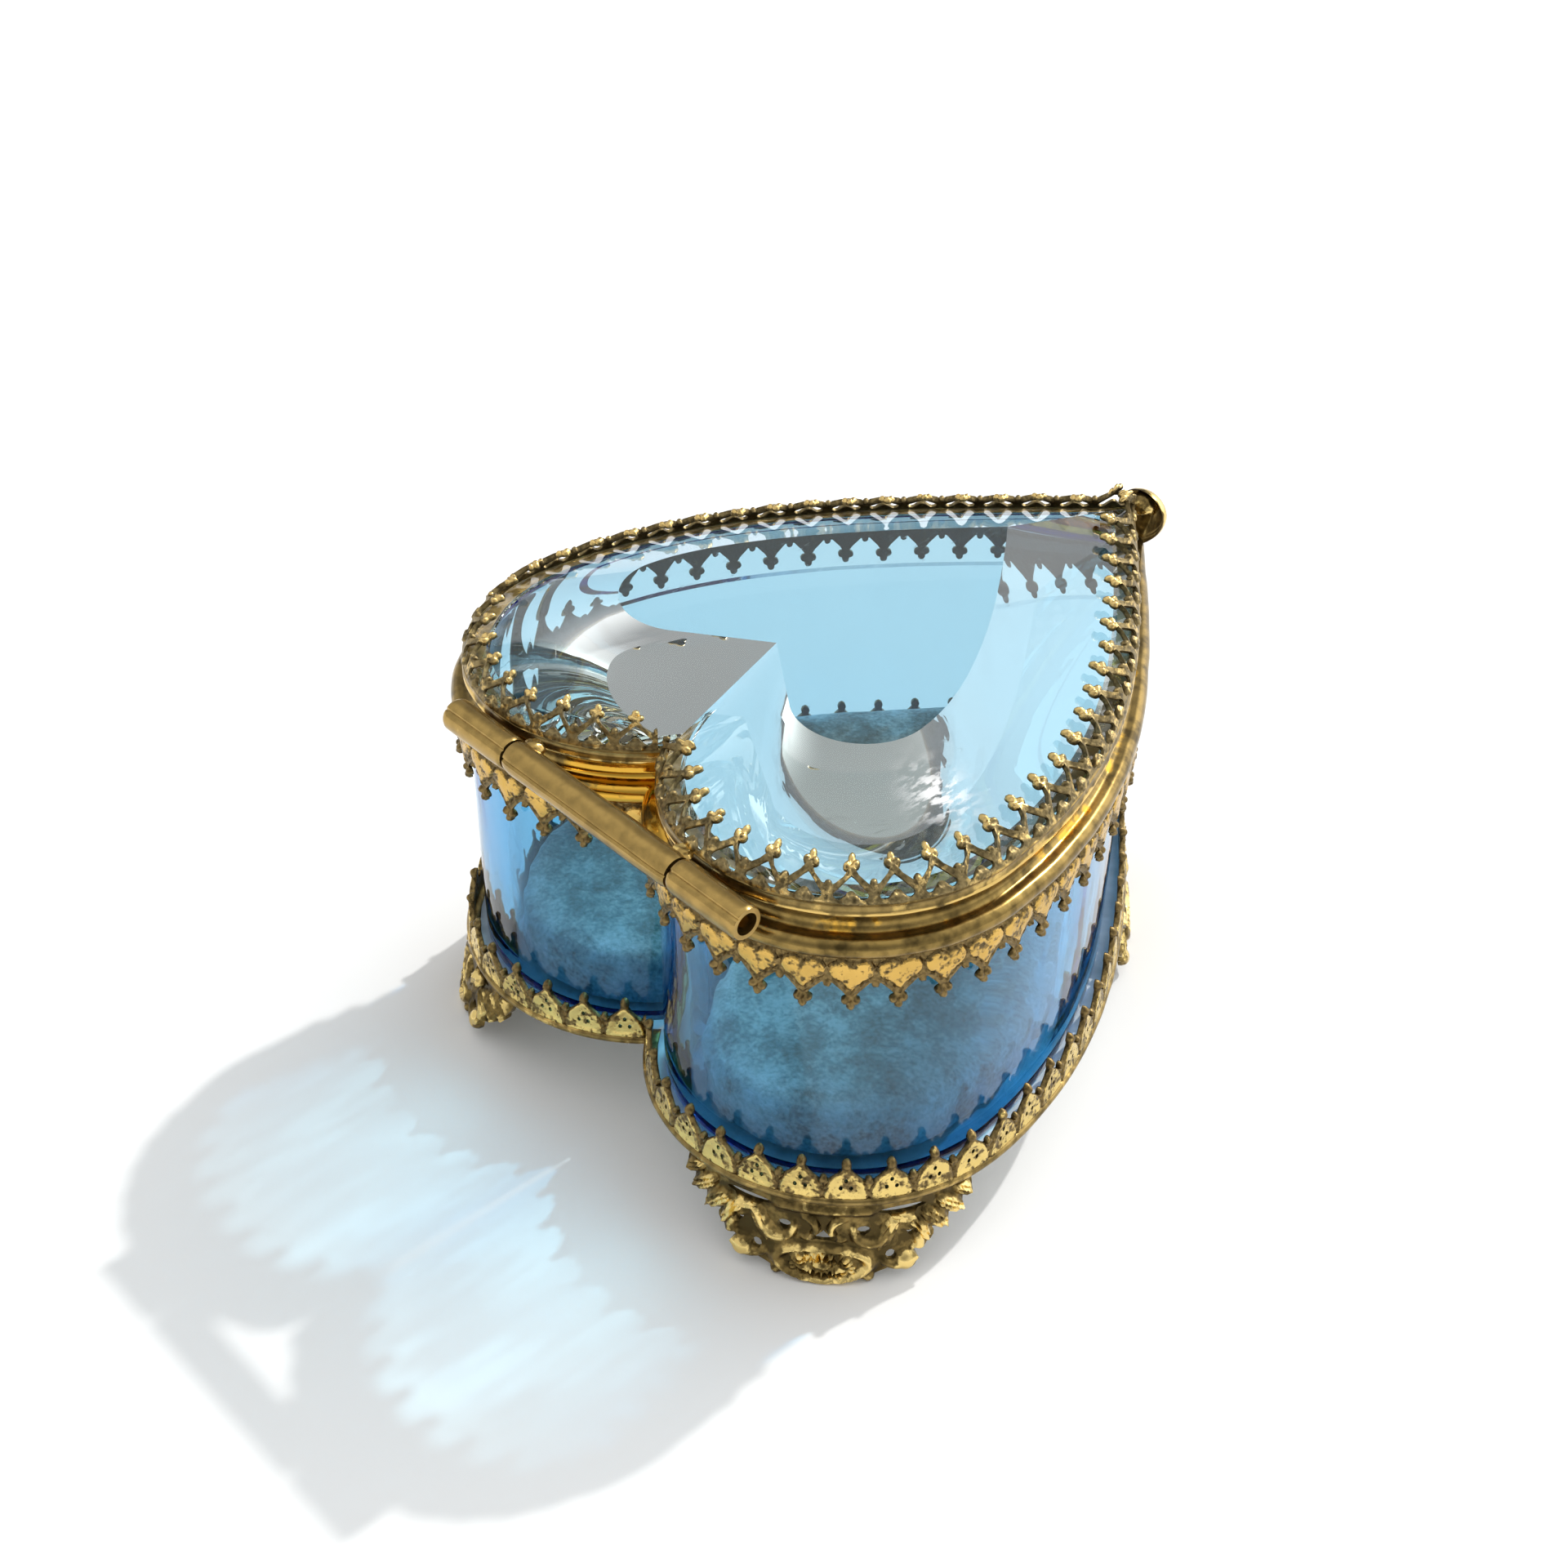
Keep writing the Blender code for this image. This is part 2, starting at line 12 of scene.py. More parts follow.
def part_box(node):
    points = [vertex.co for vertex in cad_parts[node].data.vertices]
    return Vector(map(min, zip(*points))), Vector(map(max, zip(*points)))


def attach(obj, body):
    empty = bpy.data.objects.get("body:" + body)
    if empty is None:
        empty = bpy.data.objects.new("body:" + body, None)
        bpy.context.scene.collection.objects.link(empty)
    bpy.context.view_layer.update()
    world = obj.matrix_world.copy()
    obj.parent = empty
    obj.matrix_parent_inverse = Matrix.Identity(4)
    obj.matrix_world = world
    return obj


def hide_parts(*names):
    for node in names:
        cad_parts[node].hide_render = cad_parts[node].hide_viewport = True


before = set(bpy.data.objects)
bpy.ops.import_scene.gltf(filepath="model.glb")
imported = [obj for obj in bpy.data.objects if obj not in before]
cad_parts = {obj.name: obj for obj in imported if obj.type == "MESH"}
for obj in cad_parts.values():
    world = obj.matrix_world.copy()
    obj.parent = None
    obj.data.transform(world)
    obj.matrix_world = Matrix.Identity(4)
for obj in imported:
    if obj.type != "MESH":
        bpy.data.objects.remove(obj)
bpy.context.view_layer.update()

MM = 0.001
RIM_LOW, RIM_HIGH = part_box("base_rim")

# ---- The heart's plan in mm, from the base rim; y runs from the lobes' centre line ----
HALF_WIDTH = RIM_HIGH.x / MM
LOBE_X = 0.422 * HALF_WIDTH
LOBE_RADIUS = HALF_WIDTH - LOBE_X
LOBE_Y = RIM_HIGH.y / MM - LOBE_RADIUS
LOBE_END = math.radians(-4.9)
TIP_REACH = LOBE_Y - RIM_LOW.y / MM
TIP_HALF_ANGLE = math.radians(42.45)
TIP_RADIUS = 2.5
TIP_CENTRE = -(TIP_REACH - TIP_RADIUS / math.sin(TIP_HALF_ANGLE))
SIDE_TENSION = 0.36
CUT = 0.15


def box_mm(node):
    """A CAD node's lowest and highest corners in mm, with y from the lobes' centre line."""
    low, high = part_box(node)
    shift = Vector((0.0, LOBE_Y, 0.0))
    return low / MM - shift, high / MM - shift


BASE_BOTTOM = box_mm("base_rim")[0].z
BASE_GALLERY_TOP = box_mm("base_gallery_right")[1].z
GLASS_BOTTOM, GLASS_TOP = (corner.z for corner in box_mm("glass_side_right"))
GLASS_INSET = HALF_WIDTH - box_mm("glass_side_right")[1].x
WALL_THICK = 2.5
BEAD_BOTTOM, BODY_TOP = (corner.z for corner in box_mm("body_top_rim"))
BODY_GALLERY_TIP = box_mm("body_top_gallery_right")[0].z
LID_BOTTOM, LID_RIM_TOP = (corner.z for corner in box_mm("lid_rim"))
LID_INSET = HALF_WIDTH - box_mm("lid_rim")[1].x
LID_GLASS_BOTTOM, LID_TOP = (corner.z for corner in box_mm("lid_glass"))
LID_GLASS_INSET = HALF_WIDTH - box_mm("lid_glass")[1].x
LID_LEDGE = LID_BOTTOM + 0.4
LID_LEDGE_INSET = LID_INSET + 2.5
PAD_BOTTOM, PAD_TOP = (corner.z for corner in box_mm("base_pad"))
PAD_INSET = HALF_WIDTH - box_mm("base_pad")[1].x
FOOT_TOP = box_mm("foot_back_right")[1].z
PIN_LOW, PIN_HIGH = box_mm("hinge_pin")
AXIS_Y = (PIN_LOW.y + PIN_HIGH.y) / 2
AXIS_Z = (PIN_LOW.z + PIN_HIGH.z) / 2
TUBE_RADIUS = box_mm("hinge_knuckle_body_left")[1].y - AXIS_Y
HINGE_X = (PIN_LOW.x + PIN_HIGH.x) / 2
TUBE_HALF = box_mm("hinge_knuckle_body_right")[1].x - HINGE_X
LID_TUBE_HALF = box_mm("hinge_knuckle_lid")[1].x - HINGE_X
BORE_RADIUS = 0.95

# Sides by the sign of x, how finely paths and outlines are drawn, and how unevenly bands run.
SIDES = {-1: "left", 1: "right"}
LOBE_SAMPLES = 240
SIDE_SAMPLES = 400
TIP_SAMPLES = 40
LOBE_STEPS = 110
SIDE_STEPS = 150
WAVER = 0.05

# Stamped strips: the same die all round, with so many units to each half of the heart. Each unit
# ends in a trefoil of balls, and a bud stands in each valley.
UNITS = 27
BALL = 0.34
BALL_OUT = 0.4
SIDE_BALL = 0.28
TOP_BALL = 0.82
BUD = 0.3
LID_CREST = 2.95
# Each die: grain of its mesh, depth of its sheet and gilding of the hidden side.
STRIP_DIE = (0.17, 0.3, -0.3)
FOOT_DIE = (0.19, 0.4, 0.0)

# The room's light: an even level, then (direction, inner and outer angle, amount) of each patch.
ROOM_LIGHT = 0.75
ROOM_PATCHES = (
    ((-0.2, -0.85, 0.42), 14, 42, 1.5),
    ((0.6, -0.6, 0.45), 16, 40, -0.4),
    ((-0.58, 0.55, 0.6), 14, 42, -0.4),
    ((0.0, 0.0, 1.0), 10, 60, 0.3),
)
SUN_AZIMUTH = math.radians(-90.7)
SUN_HEIGHT = math.radians(45)
LIGHT_BOUNCES = 28

# Feet: half their length along the outline, how they stand out from it, and where they are.
FOOT_HALF = 13.2
FOOT_FLARE = 1.1
FOOT_INSET = 0.45
FOOT_RELIEF = 0.75
BACK_FOOT_ANGLE = math.radians(49)
FRONT_FOOT_FROM_TIP = 16.0


# ---- Paths round the heart ----

def side_curve(t):
    """Points and outward normals on the right side, from the lobe (t=0) to the tip arc (t=1)."""
    ax = LOBE_X + LOBE_RADIUS * math.cos(LOBE_END)
    ay = LOBE_RADIUS * math.sin(LOBE_END)
    dx = TIP_RADIUS * math.cos(TIP_HALF_ANGLE)
    dy = TIP_CENTRE - TIP_RADIUS * math.sin(TIP_HALF_ANGLE)
    pull = SIDE_TENSION * math.hypot(dx - ax, dy - ay)
    bx = ax + pull * math.sin(LOBE_END)
    by = ay - pull * math.cos(LOBE_END)
    cx = dx + pull * math.sin(TIP_HALF_ANGLE)
    cy = dy + pull * math.cos(TIP_HALF_ANGLE)
    u = 1 - t
    x = u**3 * ax + 3 * u * u * t * bx + 3 * u * t * t * cx + t**3 * dx
    y = u**3 * ay + 3 * u * u * t * by + 3 * u * t * t * cy + t**3 * dy
    tx = u * u * (bx - ax) + 2 * u * t * (cx - bx) + t * t * (dx - cx)
    ty = u * u * (by - ay) + 2 * u * t * (cy - by) + t * t * (dy - cy)
    length = np.hypot(tx, ty)
    return np.stack([x, y, -ty / length, tx / length], 1)


def half_path(offset, cut=CUT):
    """Right half of the outline, offset outwards, from notch to tip: rows of x, y, nx, ny, length."""
    radius = LOBE_RADIUS + offset
    start = math.pi - math.acos(min(1.0, (LOBE_X - cut) / radius))
    angle = np.linspace(start, LOBE_END, LOBE_SAMPLES)
    nx = np.cos(angle)
    ny = np.sin(angle)
    lobe = np.stack([LOBE_X + radius * nx, radius * ny, nx, ny], 1)
    side = side_curve(np.linspace(0, 1, SIDE_SAMPLES)[1:])
    side[:, :2] += side[:, 2:] * offset
    parts = [lobe, side]
    if TIP_RADIUS + offset > 0:
        angle = np.linspace(-TIP_HALF_ANGLE, -math.pi / 2, TIP_SAMPLES)[1:]
        nx = np.cos(angle)
        ny = np.sin(angle)
        turn = TIP_RADIUS + offset
        parts.append(np.stack([turn * nx, TIP_CENTRE + turn * ny, nx, ny], 1))
    path = np.concatenate(parts)
    beyond = np.nonzero((path[:, 0] <= cut) & (path[:, 1] < 0))[0]
    if len(beyond):
        i = beyond[0]
        f = (path[i - 1, 0] - cut) / (path[i - 1, 0] - path[i, 0])
        last = path[i - 1] + (path[i] - path[i - 1]) * f
        path = np.vstack([path[:i], last])
    steps = np.hypot(np.diff(path[:, 0]), np.diff(path[:, 1]))
    return np.column_stack([path, np.concatenate([[0.0], np.cumsum(steps)])])


def along(path, s):
    """x, y, nx, ny at lengths s on a path."""
    return [np.interp(s, path[:, 4], path[:, k]) for k in range(4)]


def half_outline(offset, lobe_steps=LOBE_STEPS, side_steps=SIDE_STEPS, cut=0.0):
    """Outline points of the right half from notch to tip, the same number for every offset."""
    path = half_path(offset, cut)
    lobe_length = path[LOBE_SAMPLES - 1, 4]
    lobe_s = np.linspace(0, lobe_length, lobe_steps + 1)
    f = np.linspace(0, 1, side_steps + 1)[1:]
    crowding = 1.6
    side_s = lobe_length + (path[-1, 4] - lobe_length) * (1 - (1 - f) ** crowding)
    x, y, _, _ = along(path, np.concatenate([lobe_s, side_s]))
    return np.stack([x, y], 1)


def mirror_closed(half):
    """A right half joined with its mirror image into one closed loop."""
    half[0, 0] = 0.0
    half[-1, 0] = 0.0
    return np.vstack([half, half[-2:0:-1] * (-1, 1)])


def full_outline(offset):
    return mirror_closed(half_outline(offset))


def ring(outline, z):
    """An outline's points in space, all at one height."""
    return np.column_stack([outline, np.full(len(outline), z)])


# ---- Building meshes ----

def new_object(name, data):
    """An object with this data, linked to the scene."""
    made = bpy.data.objects.new(name, data)
    bpy.context.scene.collection.objects.link(made)
    return made


def mesh_of(bm, name):
    """The bmesh as a named mesh; the bmesh itself is freed."""
    mesh = bpy.data.meshes.new(name)
    bm.to_mesh(mesh)
    bm.free()
    return mesh


def vertex_places(mesh):
    return np.array([vertex.co for vertex in mesh.vertices])


def place_vertices(mesh, places):
    mesh.vertices.foreach_set("co", places.astype(np.float32).ravel())
    mesh.update()


def mark_points(mesh, name, values):
    """Store a number for each point, for a material to read."""
    layer = mesh.attributes.new(name, "FLOAT", "POINT")
    layer.data.foreach_set("value", np.asarray(values, np.float32))


def make_piece(name, shape, material, body, node, marks=None, smooth=35):
    """A piece from points in mm, y from the lobes' centre line, that rides on a CAD body."""
    points, faces = shape
    points = np.asarray(points, float) + (0.0, LOBE_Y, 0.0)
    mesh = bpy.data.meshes.new(name)
    mesh.from_pydata((points * MM).tolist(), [], [list(map(int, face)) for face in faces])
    for key, values in (marks or {}).items():
        mark_points(mesh, key, values)
    bm = bmesh.new()
    bm.from_mesh(mesh)
    bmesh.ops.recalc_face_normals(bm, faces=bm.faces)
    bm.to_mesh(mesh)
    bm.free()
    mesh.shade_smooth()
    mesh.set_sharp_from_angle(angle=math.radians(smooth))
    mesh.materials.append(material)
    piece = new_object(name, mesh)
    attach(piece, body)
    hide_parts(node)


def wander(points, scale, seed):
    """Smooth noise between -1 and 1 at each point, for shapes made by hand."""
    shift = Vector((seed * 7.3, seed * 3.1, seed * 5.7))
    return np.array([noise.noise(Vector(p) * scale + shift) for p in points])


def join_rows(rows, count, closed_rows=True, closed_count=True):
    """Quads between the rows of a grid of rows x count points."""
    faces = []
    for r in range(rows if closed_rows else rows - 1):
        a = r * count
        b = (r + 1) % rows * count
        for c in range(count if closed_count else count - 1):
            d = (c + 1) % count
            faces.append((a + c, a + d, b + d, b + c))
    return faces


def loft(rings):
    """A bmesh of closed rings of points, joined in order and capped at both ends."""
    bm = bmesh.new()
    rows = [[bm.verts.new(point) for point in points] for points in rings]
    for a, b in zip(rows, rows[1:]):
        for i in range(len(a)):
            j = (i + 1) % len(a)
            bm.faces.new((a[i], a[j], b[j], b[i]))
    caps = [bm.faces.new(rows[0]), bm.faces.new(rows[-1])]
    bmesh.ops.triangulate(bm, faces=caps)
    return bm


def sweep_heart(section, seed):
    """Points and faces of a closed (offset, z) section swept round the heart, a little unevenly."""
    loops = [ring(full_outline(offset), z) for offset, z in section]
    points = np.vstack(loops)
    points[:, 2] += WAVER * wander(points * (1, 1, 0), 0.16, seed)
    push = WAVER * wander(points * (1, 1, 0), 0.3, seed + 1)
    sign = np.sign(points[:, 0])
    points[:, 0] += push * sign
    points[:, 1] += push * np.sign(points[:, 1]) * np.abs(sign)
    return points, join_rows(len(section), len(loops[0]))


def arc(centre, radius, start, end, steps):
    """Points of an arc in the section plane, angles in degrees."""
    angle = np.radians(np.linspace(start, end, steps + 1))
    return [(centre[0] + radius * math.cos(a), centre[1] + radius * math.sin(a)) for a in angle]


def bend(start, middle, end, steps):
    """Points of a quadratic curve, without its first."""
    points = []
    for i in range(1, steps + 1):
        t = i / steps
        points.append(tuple((1 - t) ** 2 * a + 2 * t * (1 - t) * b + t * t * c
                            for a, b, c in zip(start, middle, end)))
    return points


# ---- Stamped sheet ----

def inside(points, loop):
    """Which points lie inside a closed loop."""
    x, y = points[:, 0], points[:, 1]
    result = np.zeros(len(points), bool)
    for (ax, ay), (bx, by) in zip(loop, np.roll(loop, -1, axis=0)):
        crosses = (ay > y) != (by > y)
        with np.errstate(divide="ignore", invalid="ignore"):
            at = ax + (y - ay) * (bx - ax) / (by - ay)
        result ^= crosses & (x < at)
    return result


def edge_distance(points, loops):
    """Distance from each point to the nearest edge of the loops."""
    best = np.full(len(points), 1e9)
    for loop in loops:
        for a, b in zip(loop, np.roll(loop, -1, axis=0)):
            d = b - a
            t = np.clip(((points - a) @ d) / max(d @ d, 1e-12), 0, 1)
            best = np.minimum(best, np.hypot(*(points - a - t[:, None] * d).T))
    return best


def fill_panel(loops, spacing):
    """Nearly even triangles inside the first loop and outside the others, whose points come first."""
    loops = [np.asarray(loop, float) for loop in loops]

    def in_sheet(points):
        return inside(points, loops[0]) & ~np.any([inside(points, hole) for hole in loops[1:]], axis=0)

    low = loops[0].min(0)
    high = loops[0].max(0)
    even = 0.87
    rows = int((high[1] - low[1]) / (spacing * even)) + 1
    columns = int((high[0] - low[0]) / spacing) + 1
    grid = np.array([(low[0] + (c + 0.5 * (r % 2)) * spacing, low[1] + r * spacing * even)
                     for r in range(rows) for c in range(columns)])
    keep = in_sheet(grid) & (edge_distance(grid, loops) > 0.45 * spacing)
    points = np.vstack(loops + [grid[keep]])
    edges = loop_pairs(loops, lambda a, b: False)
    found = delaunay_2d_cdt([Vector(p) for p in points], edges, [], 0, 1e-7)
    triangles = np.array(found[2])
    if len(found[0]) != len(points):
        raise ValueError("a stamped panel's outline crosses itself")
    return points, triangles[in_sheet(points[triangles].mean(1))]


def loop_pairs(loops, skip):
    """Edges of the loops as index pairs, without those that skip says are shared."""
    pairs = []
    first = 0
    for loop in loops:
        count = len(loop)
        found = [(first + i, first + (i + 1) % count) for i in range(count)]
        pairs += [(a, b) for a, b in found if not skip(a, b)]
        first += count
    return pairs


def stamp(loops, relief, gilt_and_painted_light, place, die, borders=((), ()), pitch=0.0, units=1):
    """Repeated pressed units as points, faces and gilding, closed with their plain hidden side.

    borders holds the first loop's point indexes on its left and right edge, bottom to top, where
    units that stand a pitch apart meet. place takes arrays of length along the strip, height and
    outward push, and gives points.
    """
    grain, depth, hidden_gilt = die
    left, right = (list(border) for border in borders)
    on_left, on_right = set(left), set(right)
    points, faces, marks, skins = [], [], [], []
    first = 0
    for hidden in (False, True):
        flat, triangles = fill_panel(loops, 3 * grain if hidden else grain)
        order = left + [i for i in range(len(flat)) if i not in on_left | on_right] + right
        rank = np.empty(len(flat), int)
        rank[order] = np.arange(len(flat))
        flat = flat[order]
        stride = len(flat) - len(right)
        for unit in range(units):
            part = flat if unit == units - 1 else flat[:stride]
            u, v = part[:, 0], part[:, 1]
            push = np.full(len(part), -depth) if hidden else relief(u, v)
            points.append(place(u + unit * pitch, v, push))
            marks.append(np.full(len(part), hidden_gilt) if hidden else gilt_and_painted_light(u, v))
            corners = rank[triangles] + first + unit * stride
            faces += (corners[:, ::-1] if hidden else corners).tolist()
        skins.append((rank, first, stride))
        first += units * stride + len(right)

    def is_border(a, b):
        return {a, b} <= on_left or {a, b} <= on_right

    (front, first_f, stride_f), (back, first_b, stride_b) = skins
    free_edges = loop_pairs(loops, is_border)
    walls = [(unit, free_edges) for unit in range(units)]
    walls += [(0, zip(left, left[1:])), (units - 1, zip(right, right[1:]))]
    for unit, pairs in walls:
        f = first_f + unit * stride_f
        h = first_b + unit * stride_b
        faces += [(front[a] + f, back[a] + h, back[b] + h, front[b] + f) for a, b in pairs]
    return np.vstack(points), faces, np.concatenate(marks)


def step(x, low, high):
    """Smooth step from 0 at low to 1 at high."""
    t = np.clip((x - low) / (high - low), 0, 1)
    return t * t * (3 - 2 * t)


def ball(x, y, cx, cy, radius):
    """Height of a half ball over the sheet."""
    return np.sqrt(np.clip(radius**2 - (x - cx) ** 2 - (y - cy) ** 2, 0, None))


def ridge(distance, width):
    return np.exp(-((distance / width) ** 2))


# ---- One unit of the gallery: an arch over a heart, a trefoil finial, a bud in each valley ----

def unit_outline(pitch, valley, crest, pointed):
    """Closed outline of a unit and its left and right border points, bottom to top."""
    middle = pitch / 2
    neck = 0.62
    right = [(pitch, v) for v in np.linspace(0, valley + BUD, 10)]
    bottom = [(pitch * f, 0.0) for f in np.linspace(0, 1, 12)[1:-1]]
    bud_side = [(pitch + x, y) for x, y in arc((0, valley), BUD, 105, 200, 4)]
    shoulder = [(pitch - 0.42, valley - 0.12), (middle + neck, crest - neck), (middle + 0.3, crest - 0.12)]
    if pointed:
        finial = [(middle + x, crest + y) for x, y in ((0.34, 0.05), (0.42, 0.3), (0.34, 0.55))]
        finial.append((middle + 0.2, crest + 0.75))
        top = (middle, crest + 0.85)
    else:
        finial = [(middle + x, y) for x, y in arc((BALL_OUT, crest + SIDE_BALL), BALL, -75, 85, 6)]
        finial += [(middle + x, y) for x, y in arc((0, crest + TOP_BALL), BALL, -20, 80, 4)]
        top = (middle, crest + (TOP_BALL + BALL))
    half = bud_side + shoulder + finial
    left_half = [(pitch - x, y) for x, y in reversed(half)]
    left = [(0.0, v) for v in np.linspace(valley + BUD, 0, len(right))]
    outline = bottom + right + half + [top] + left_half + left
    right_ids = [len(bottom) + i for i in range(len(right))]
    left_ids = [len(outline) - 1 - i for i in range(len(right))]
    return np.array(outline), left_ids, right_ids


def heart_measure(x, y, bottom, tip, half_width):
    """Positive inside a heart standing on its lobes, about the distance in mm to its edge."""
    radius = 0.54 * half_width
    lobe_y = bottom + radius
    lobes = radius - np.hypot(np.abs(x) - 0.48 * half_width, y - lobe_y)
    slope = half_width / (tip - lobe_y)
    wedge = ((tip - y) * slope - np.abs(x)) / math.hypot(1, slope)
    wedge = np.where(y < lobe_y, -1.0, np.minimum(wedge, y - lobe_y + 0.3))
    return np.maximum(lobes, wedge)


def finial_relief(u, v, pitch, valley, crest):
    """Half balls of the trefoil and of the buds beside it."""
    x = u - pitch / 2
    side_balls = [ball(x, v, out, crest + SIDE_BALL, BALL) for out in (BALL_OUT, -BALL_OUT)]
    top_ball = ball(x, v, 0, crest + TOP_BALL, BALL)
    bud = ball(np.minimum(u, pitch - u), v, 0, valley, BUD)
    return np.maximum.reduce(side_balls + [top_ball, bud])


def heart_unit(pitch, valley, crest):
    """Relief and gilding of the unit with a raised heart standing on its lobes."""
    heart_bottom = 0.5
    tip = crest - 0.7
    half_width = 0.47 * pitch

    def relief(u, v):
        m = heart_measure(u - pitch / 2, v, heart_bottom, tip, half_width)
        height = 0.26 * step(m, -0.02, 0.14) + 0.05 * step(m, 0.2, 0.6)
        height = np.maximum(height, 0.2 * ridge(m + 0.2, 0.08))
        return np.maximum(height, 0.9 * finial_relief(u, v, pitch, valley, crest))

    def gilt_and_painted_light(u, v):
        m = heart_measure(u - pitch / 2, v, heart_bottom, tip, half_width)
        return np.clip(0.25 + 0.75 * step(m, -0.02, 0.06) - 0.35 * ridge(m + 0.02, 0.07), 0, 1)

    return relief, gilt_and_painted_light, []


def arch_unit(pitch, valley, crest):
    """Relief and gilding of the base's unit: a pointed arch with three holes inside a cord."""
    half_width = 0.49 * pitch
    spring = 0.35
    rise = crest + 0.1 - spring
    radius = (rise**2 + half_width**2) / (2 * half_width)

    def measure(u, v):
        x = np.abs(u - pitch / 2)
        curved = radius - np.hypot(x + radius - half_width, np.maximum(v - spring, 0))
        return np.minimum(curved, v - 0.1)

    def relief(u, v):
        m = measure(u, v)
        height = 0.22 * step(m, -0.02, 0.14) - 0.1 * step(m, 0.3, 0.8)
        height = np.maximum(height, 0.22 * ridge(m + 0.17, 0.08))
        x = u - pitch / 2
        tip = ball(x, v - crest - 0.35, 0, 0, 0.4)
        bud = ball(np.minimum(u, pitch - u), v, 0, valley, BUD)
        return np.maximum.reduce([height, tip, bud])

    def gilt_and_painted_light(u, v):
        m = measure(u, v)
        return np.where(m > 0.05, 0.9, 0.45) - 0.7 * ridge(m - 0.05, 0.08)

    holes = []
    middle = 0.5 * crest
    for cx, cy in ((0.0, middle + 0.5), (-0.42, middle - 0.28), (0.42, middle - 0.28)):
        circle = arc((pitch / 2 + cx, cy), 0.17, 0, 320, 8)
        holes.append(np.array([(x, cy + 1.35 * (y - cy)) for x, y in circle]))
    return relief, gilt_and_painted_light, holes


def open_unit(pitch, valley, crest):
    """Relief and gilding of the lid's unit, whose heart is punched out between arch and base."""
    middle = pitch / 2
    foot = 0.42
    apex = crest - 0.5
    leg = 0.27 * pitch
    right_leg = [(middle + x, y) for x, y in arc((leg, foot + 0.4), 0.4, -120, 50, 6)]
    hump = [(middle + x, y) for x, y in arc((0, foot + 0.42), 0.36, 25, 155, 6)]
    left_leg = [(middle - (x - middle), y) for x, y in reversed(right_leg)]
    peak = [(middle + 0.26, apex - 0.22), (middle, apex), (middle - 0.26, apex - 0.22)]
    hole = right_leg + peak + left_leg + hump[::-1]

    def relief(u, v):
        x = np.abs(u - middle)
        slope = (middle - 0.35) / (crest - valley + 0.35)
        line = np.abs(x - (crest - v) * slope - 0.1) / math.hypot(1, slope)
        arch = 0.22 * ridge(line, 0.16) * step(v, valley - 0.9, valley - 0.3)
        lobes = 0.2 * step(0.5 - np.hypot(x - 0.3, v - 0.4), 0.0, 0.2)
        height = np.maximum(arch, lobes)
        return np.maximum(height, 0.9 * finial_relief(u, v, pitch, valley, crest))

    def gilt_and_painted_light(u, v):
        # Painted highlight: the gilding brightens towards the finial tops.
        return 0.3 + 0.5 * step(v, crest - 0.1, crest + 0.6)

    return relief, gilt_and_painted_light, [np.array(hole)]


def straight_place(path, side, root_z, direction, offsets, seed):
    """Places a strip that rises (direction 1) or hangs (-1) from root_z.

    offsets holds the strip's height and how far it leans outwards by its end.
    """
    height, lean = offsets

    def place(s, v, push):
        x, y, nx, ny = along(path, s)
        f = v / height
        spot = np.column_stack([s * 0.45, v * 0.2, np.full(len(s), seed)])
        out = lean * f**1.2 + push + 0.16 * f * wander(spot, 1.0, seed)
        z = root_z + direction * v * (1 + 0.02 * wander(spot * (1.3, 0, 0), 1.0, seed + 3))
        return np.column_stack([side * (x + nx * out), y + ny * out, z])

    return place


def gallery(kind, side, path_offset, shape, unit, place_of, brass):
    """Half of a stamped strip; shape holds the heights of its valleys and crests."""
    path = half_path(path_offset)
    pitch = path[-1, 4] / UNITS
    relief, gilt_and_painted_light, holes = unit(pitch, *shape)
    outline, left, right = unit_outline(pitch, *shape, unit is arch_unit)
    points, faces, marks = stamp([outline] + holes, relief, gilt_and_painted_light, place_of(path), STRIP_DIE,
                                 (left, right), pitch, UNITS)
    body = "lid" if kind == "lid_gallery" else "case"
    make_piece(f"{kind}_strip_{SIDES[side]}", (points, faces), brass[kind], body,
               f"{kind}_{SIDES[side]}", {"gilt_and_painted_light": marks}, 60)


def build_galleries(brass):
    """Strips that stand on the base rim, hang from the bead and fold over the lid's bevel."""
    base_root = BASE_BOTTOM + 0.45
    base_height = BASE_GALLERY_TOP - base_root
    base_crest = base_height - 1.0
    body_root = BEAD_BOTTOM + 0.35
    body_height = body_root - BODY_GALLERY_TIP
    body_crest = body_height - TOP_BALL - BALL
    for side in SIDES:
        gallery("base_gallery", side, -0.4, (base_crest - 1.25, base_crest), arch_unit,
                lambda path: straight_place(path, side, base_root, 1, (base_height, -0.3), 2 + side), brass)
        gallery("body_top_gallery", side, -1.05, (body_crest - 1.35, body_crest), heart_unit,
                lambda path: straight_place(path, side, body_root, -1, (body_height, 0.1), 7 + side), brass)
        gallery("lid_gallery", side, -LID_INSET - 0.1, (1.8, LID_CREST), open_unit,
                lambda path: lid_place(path, side), brass)


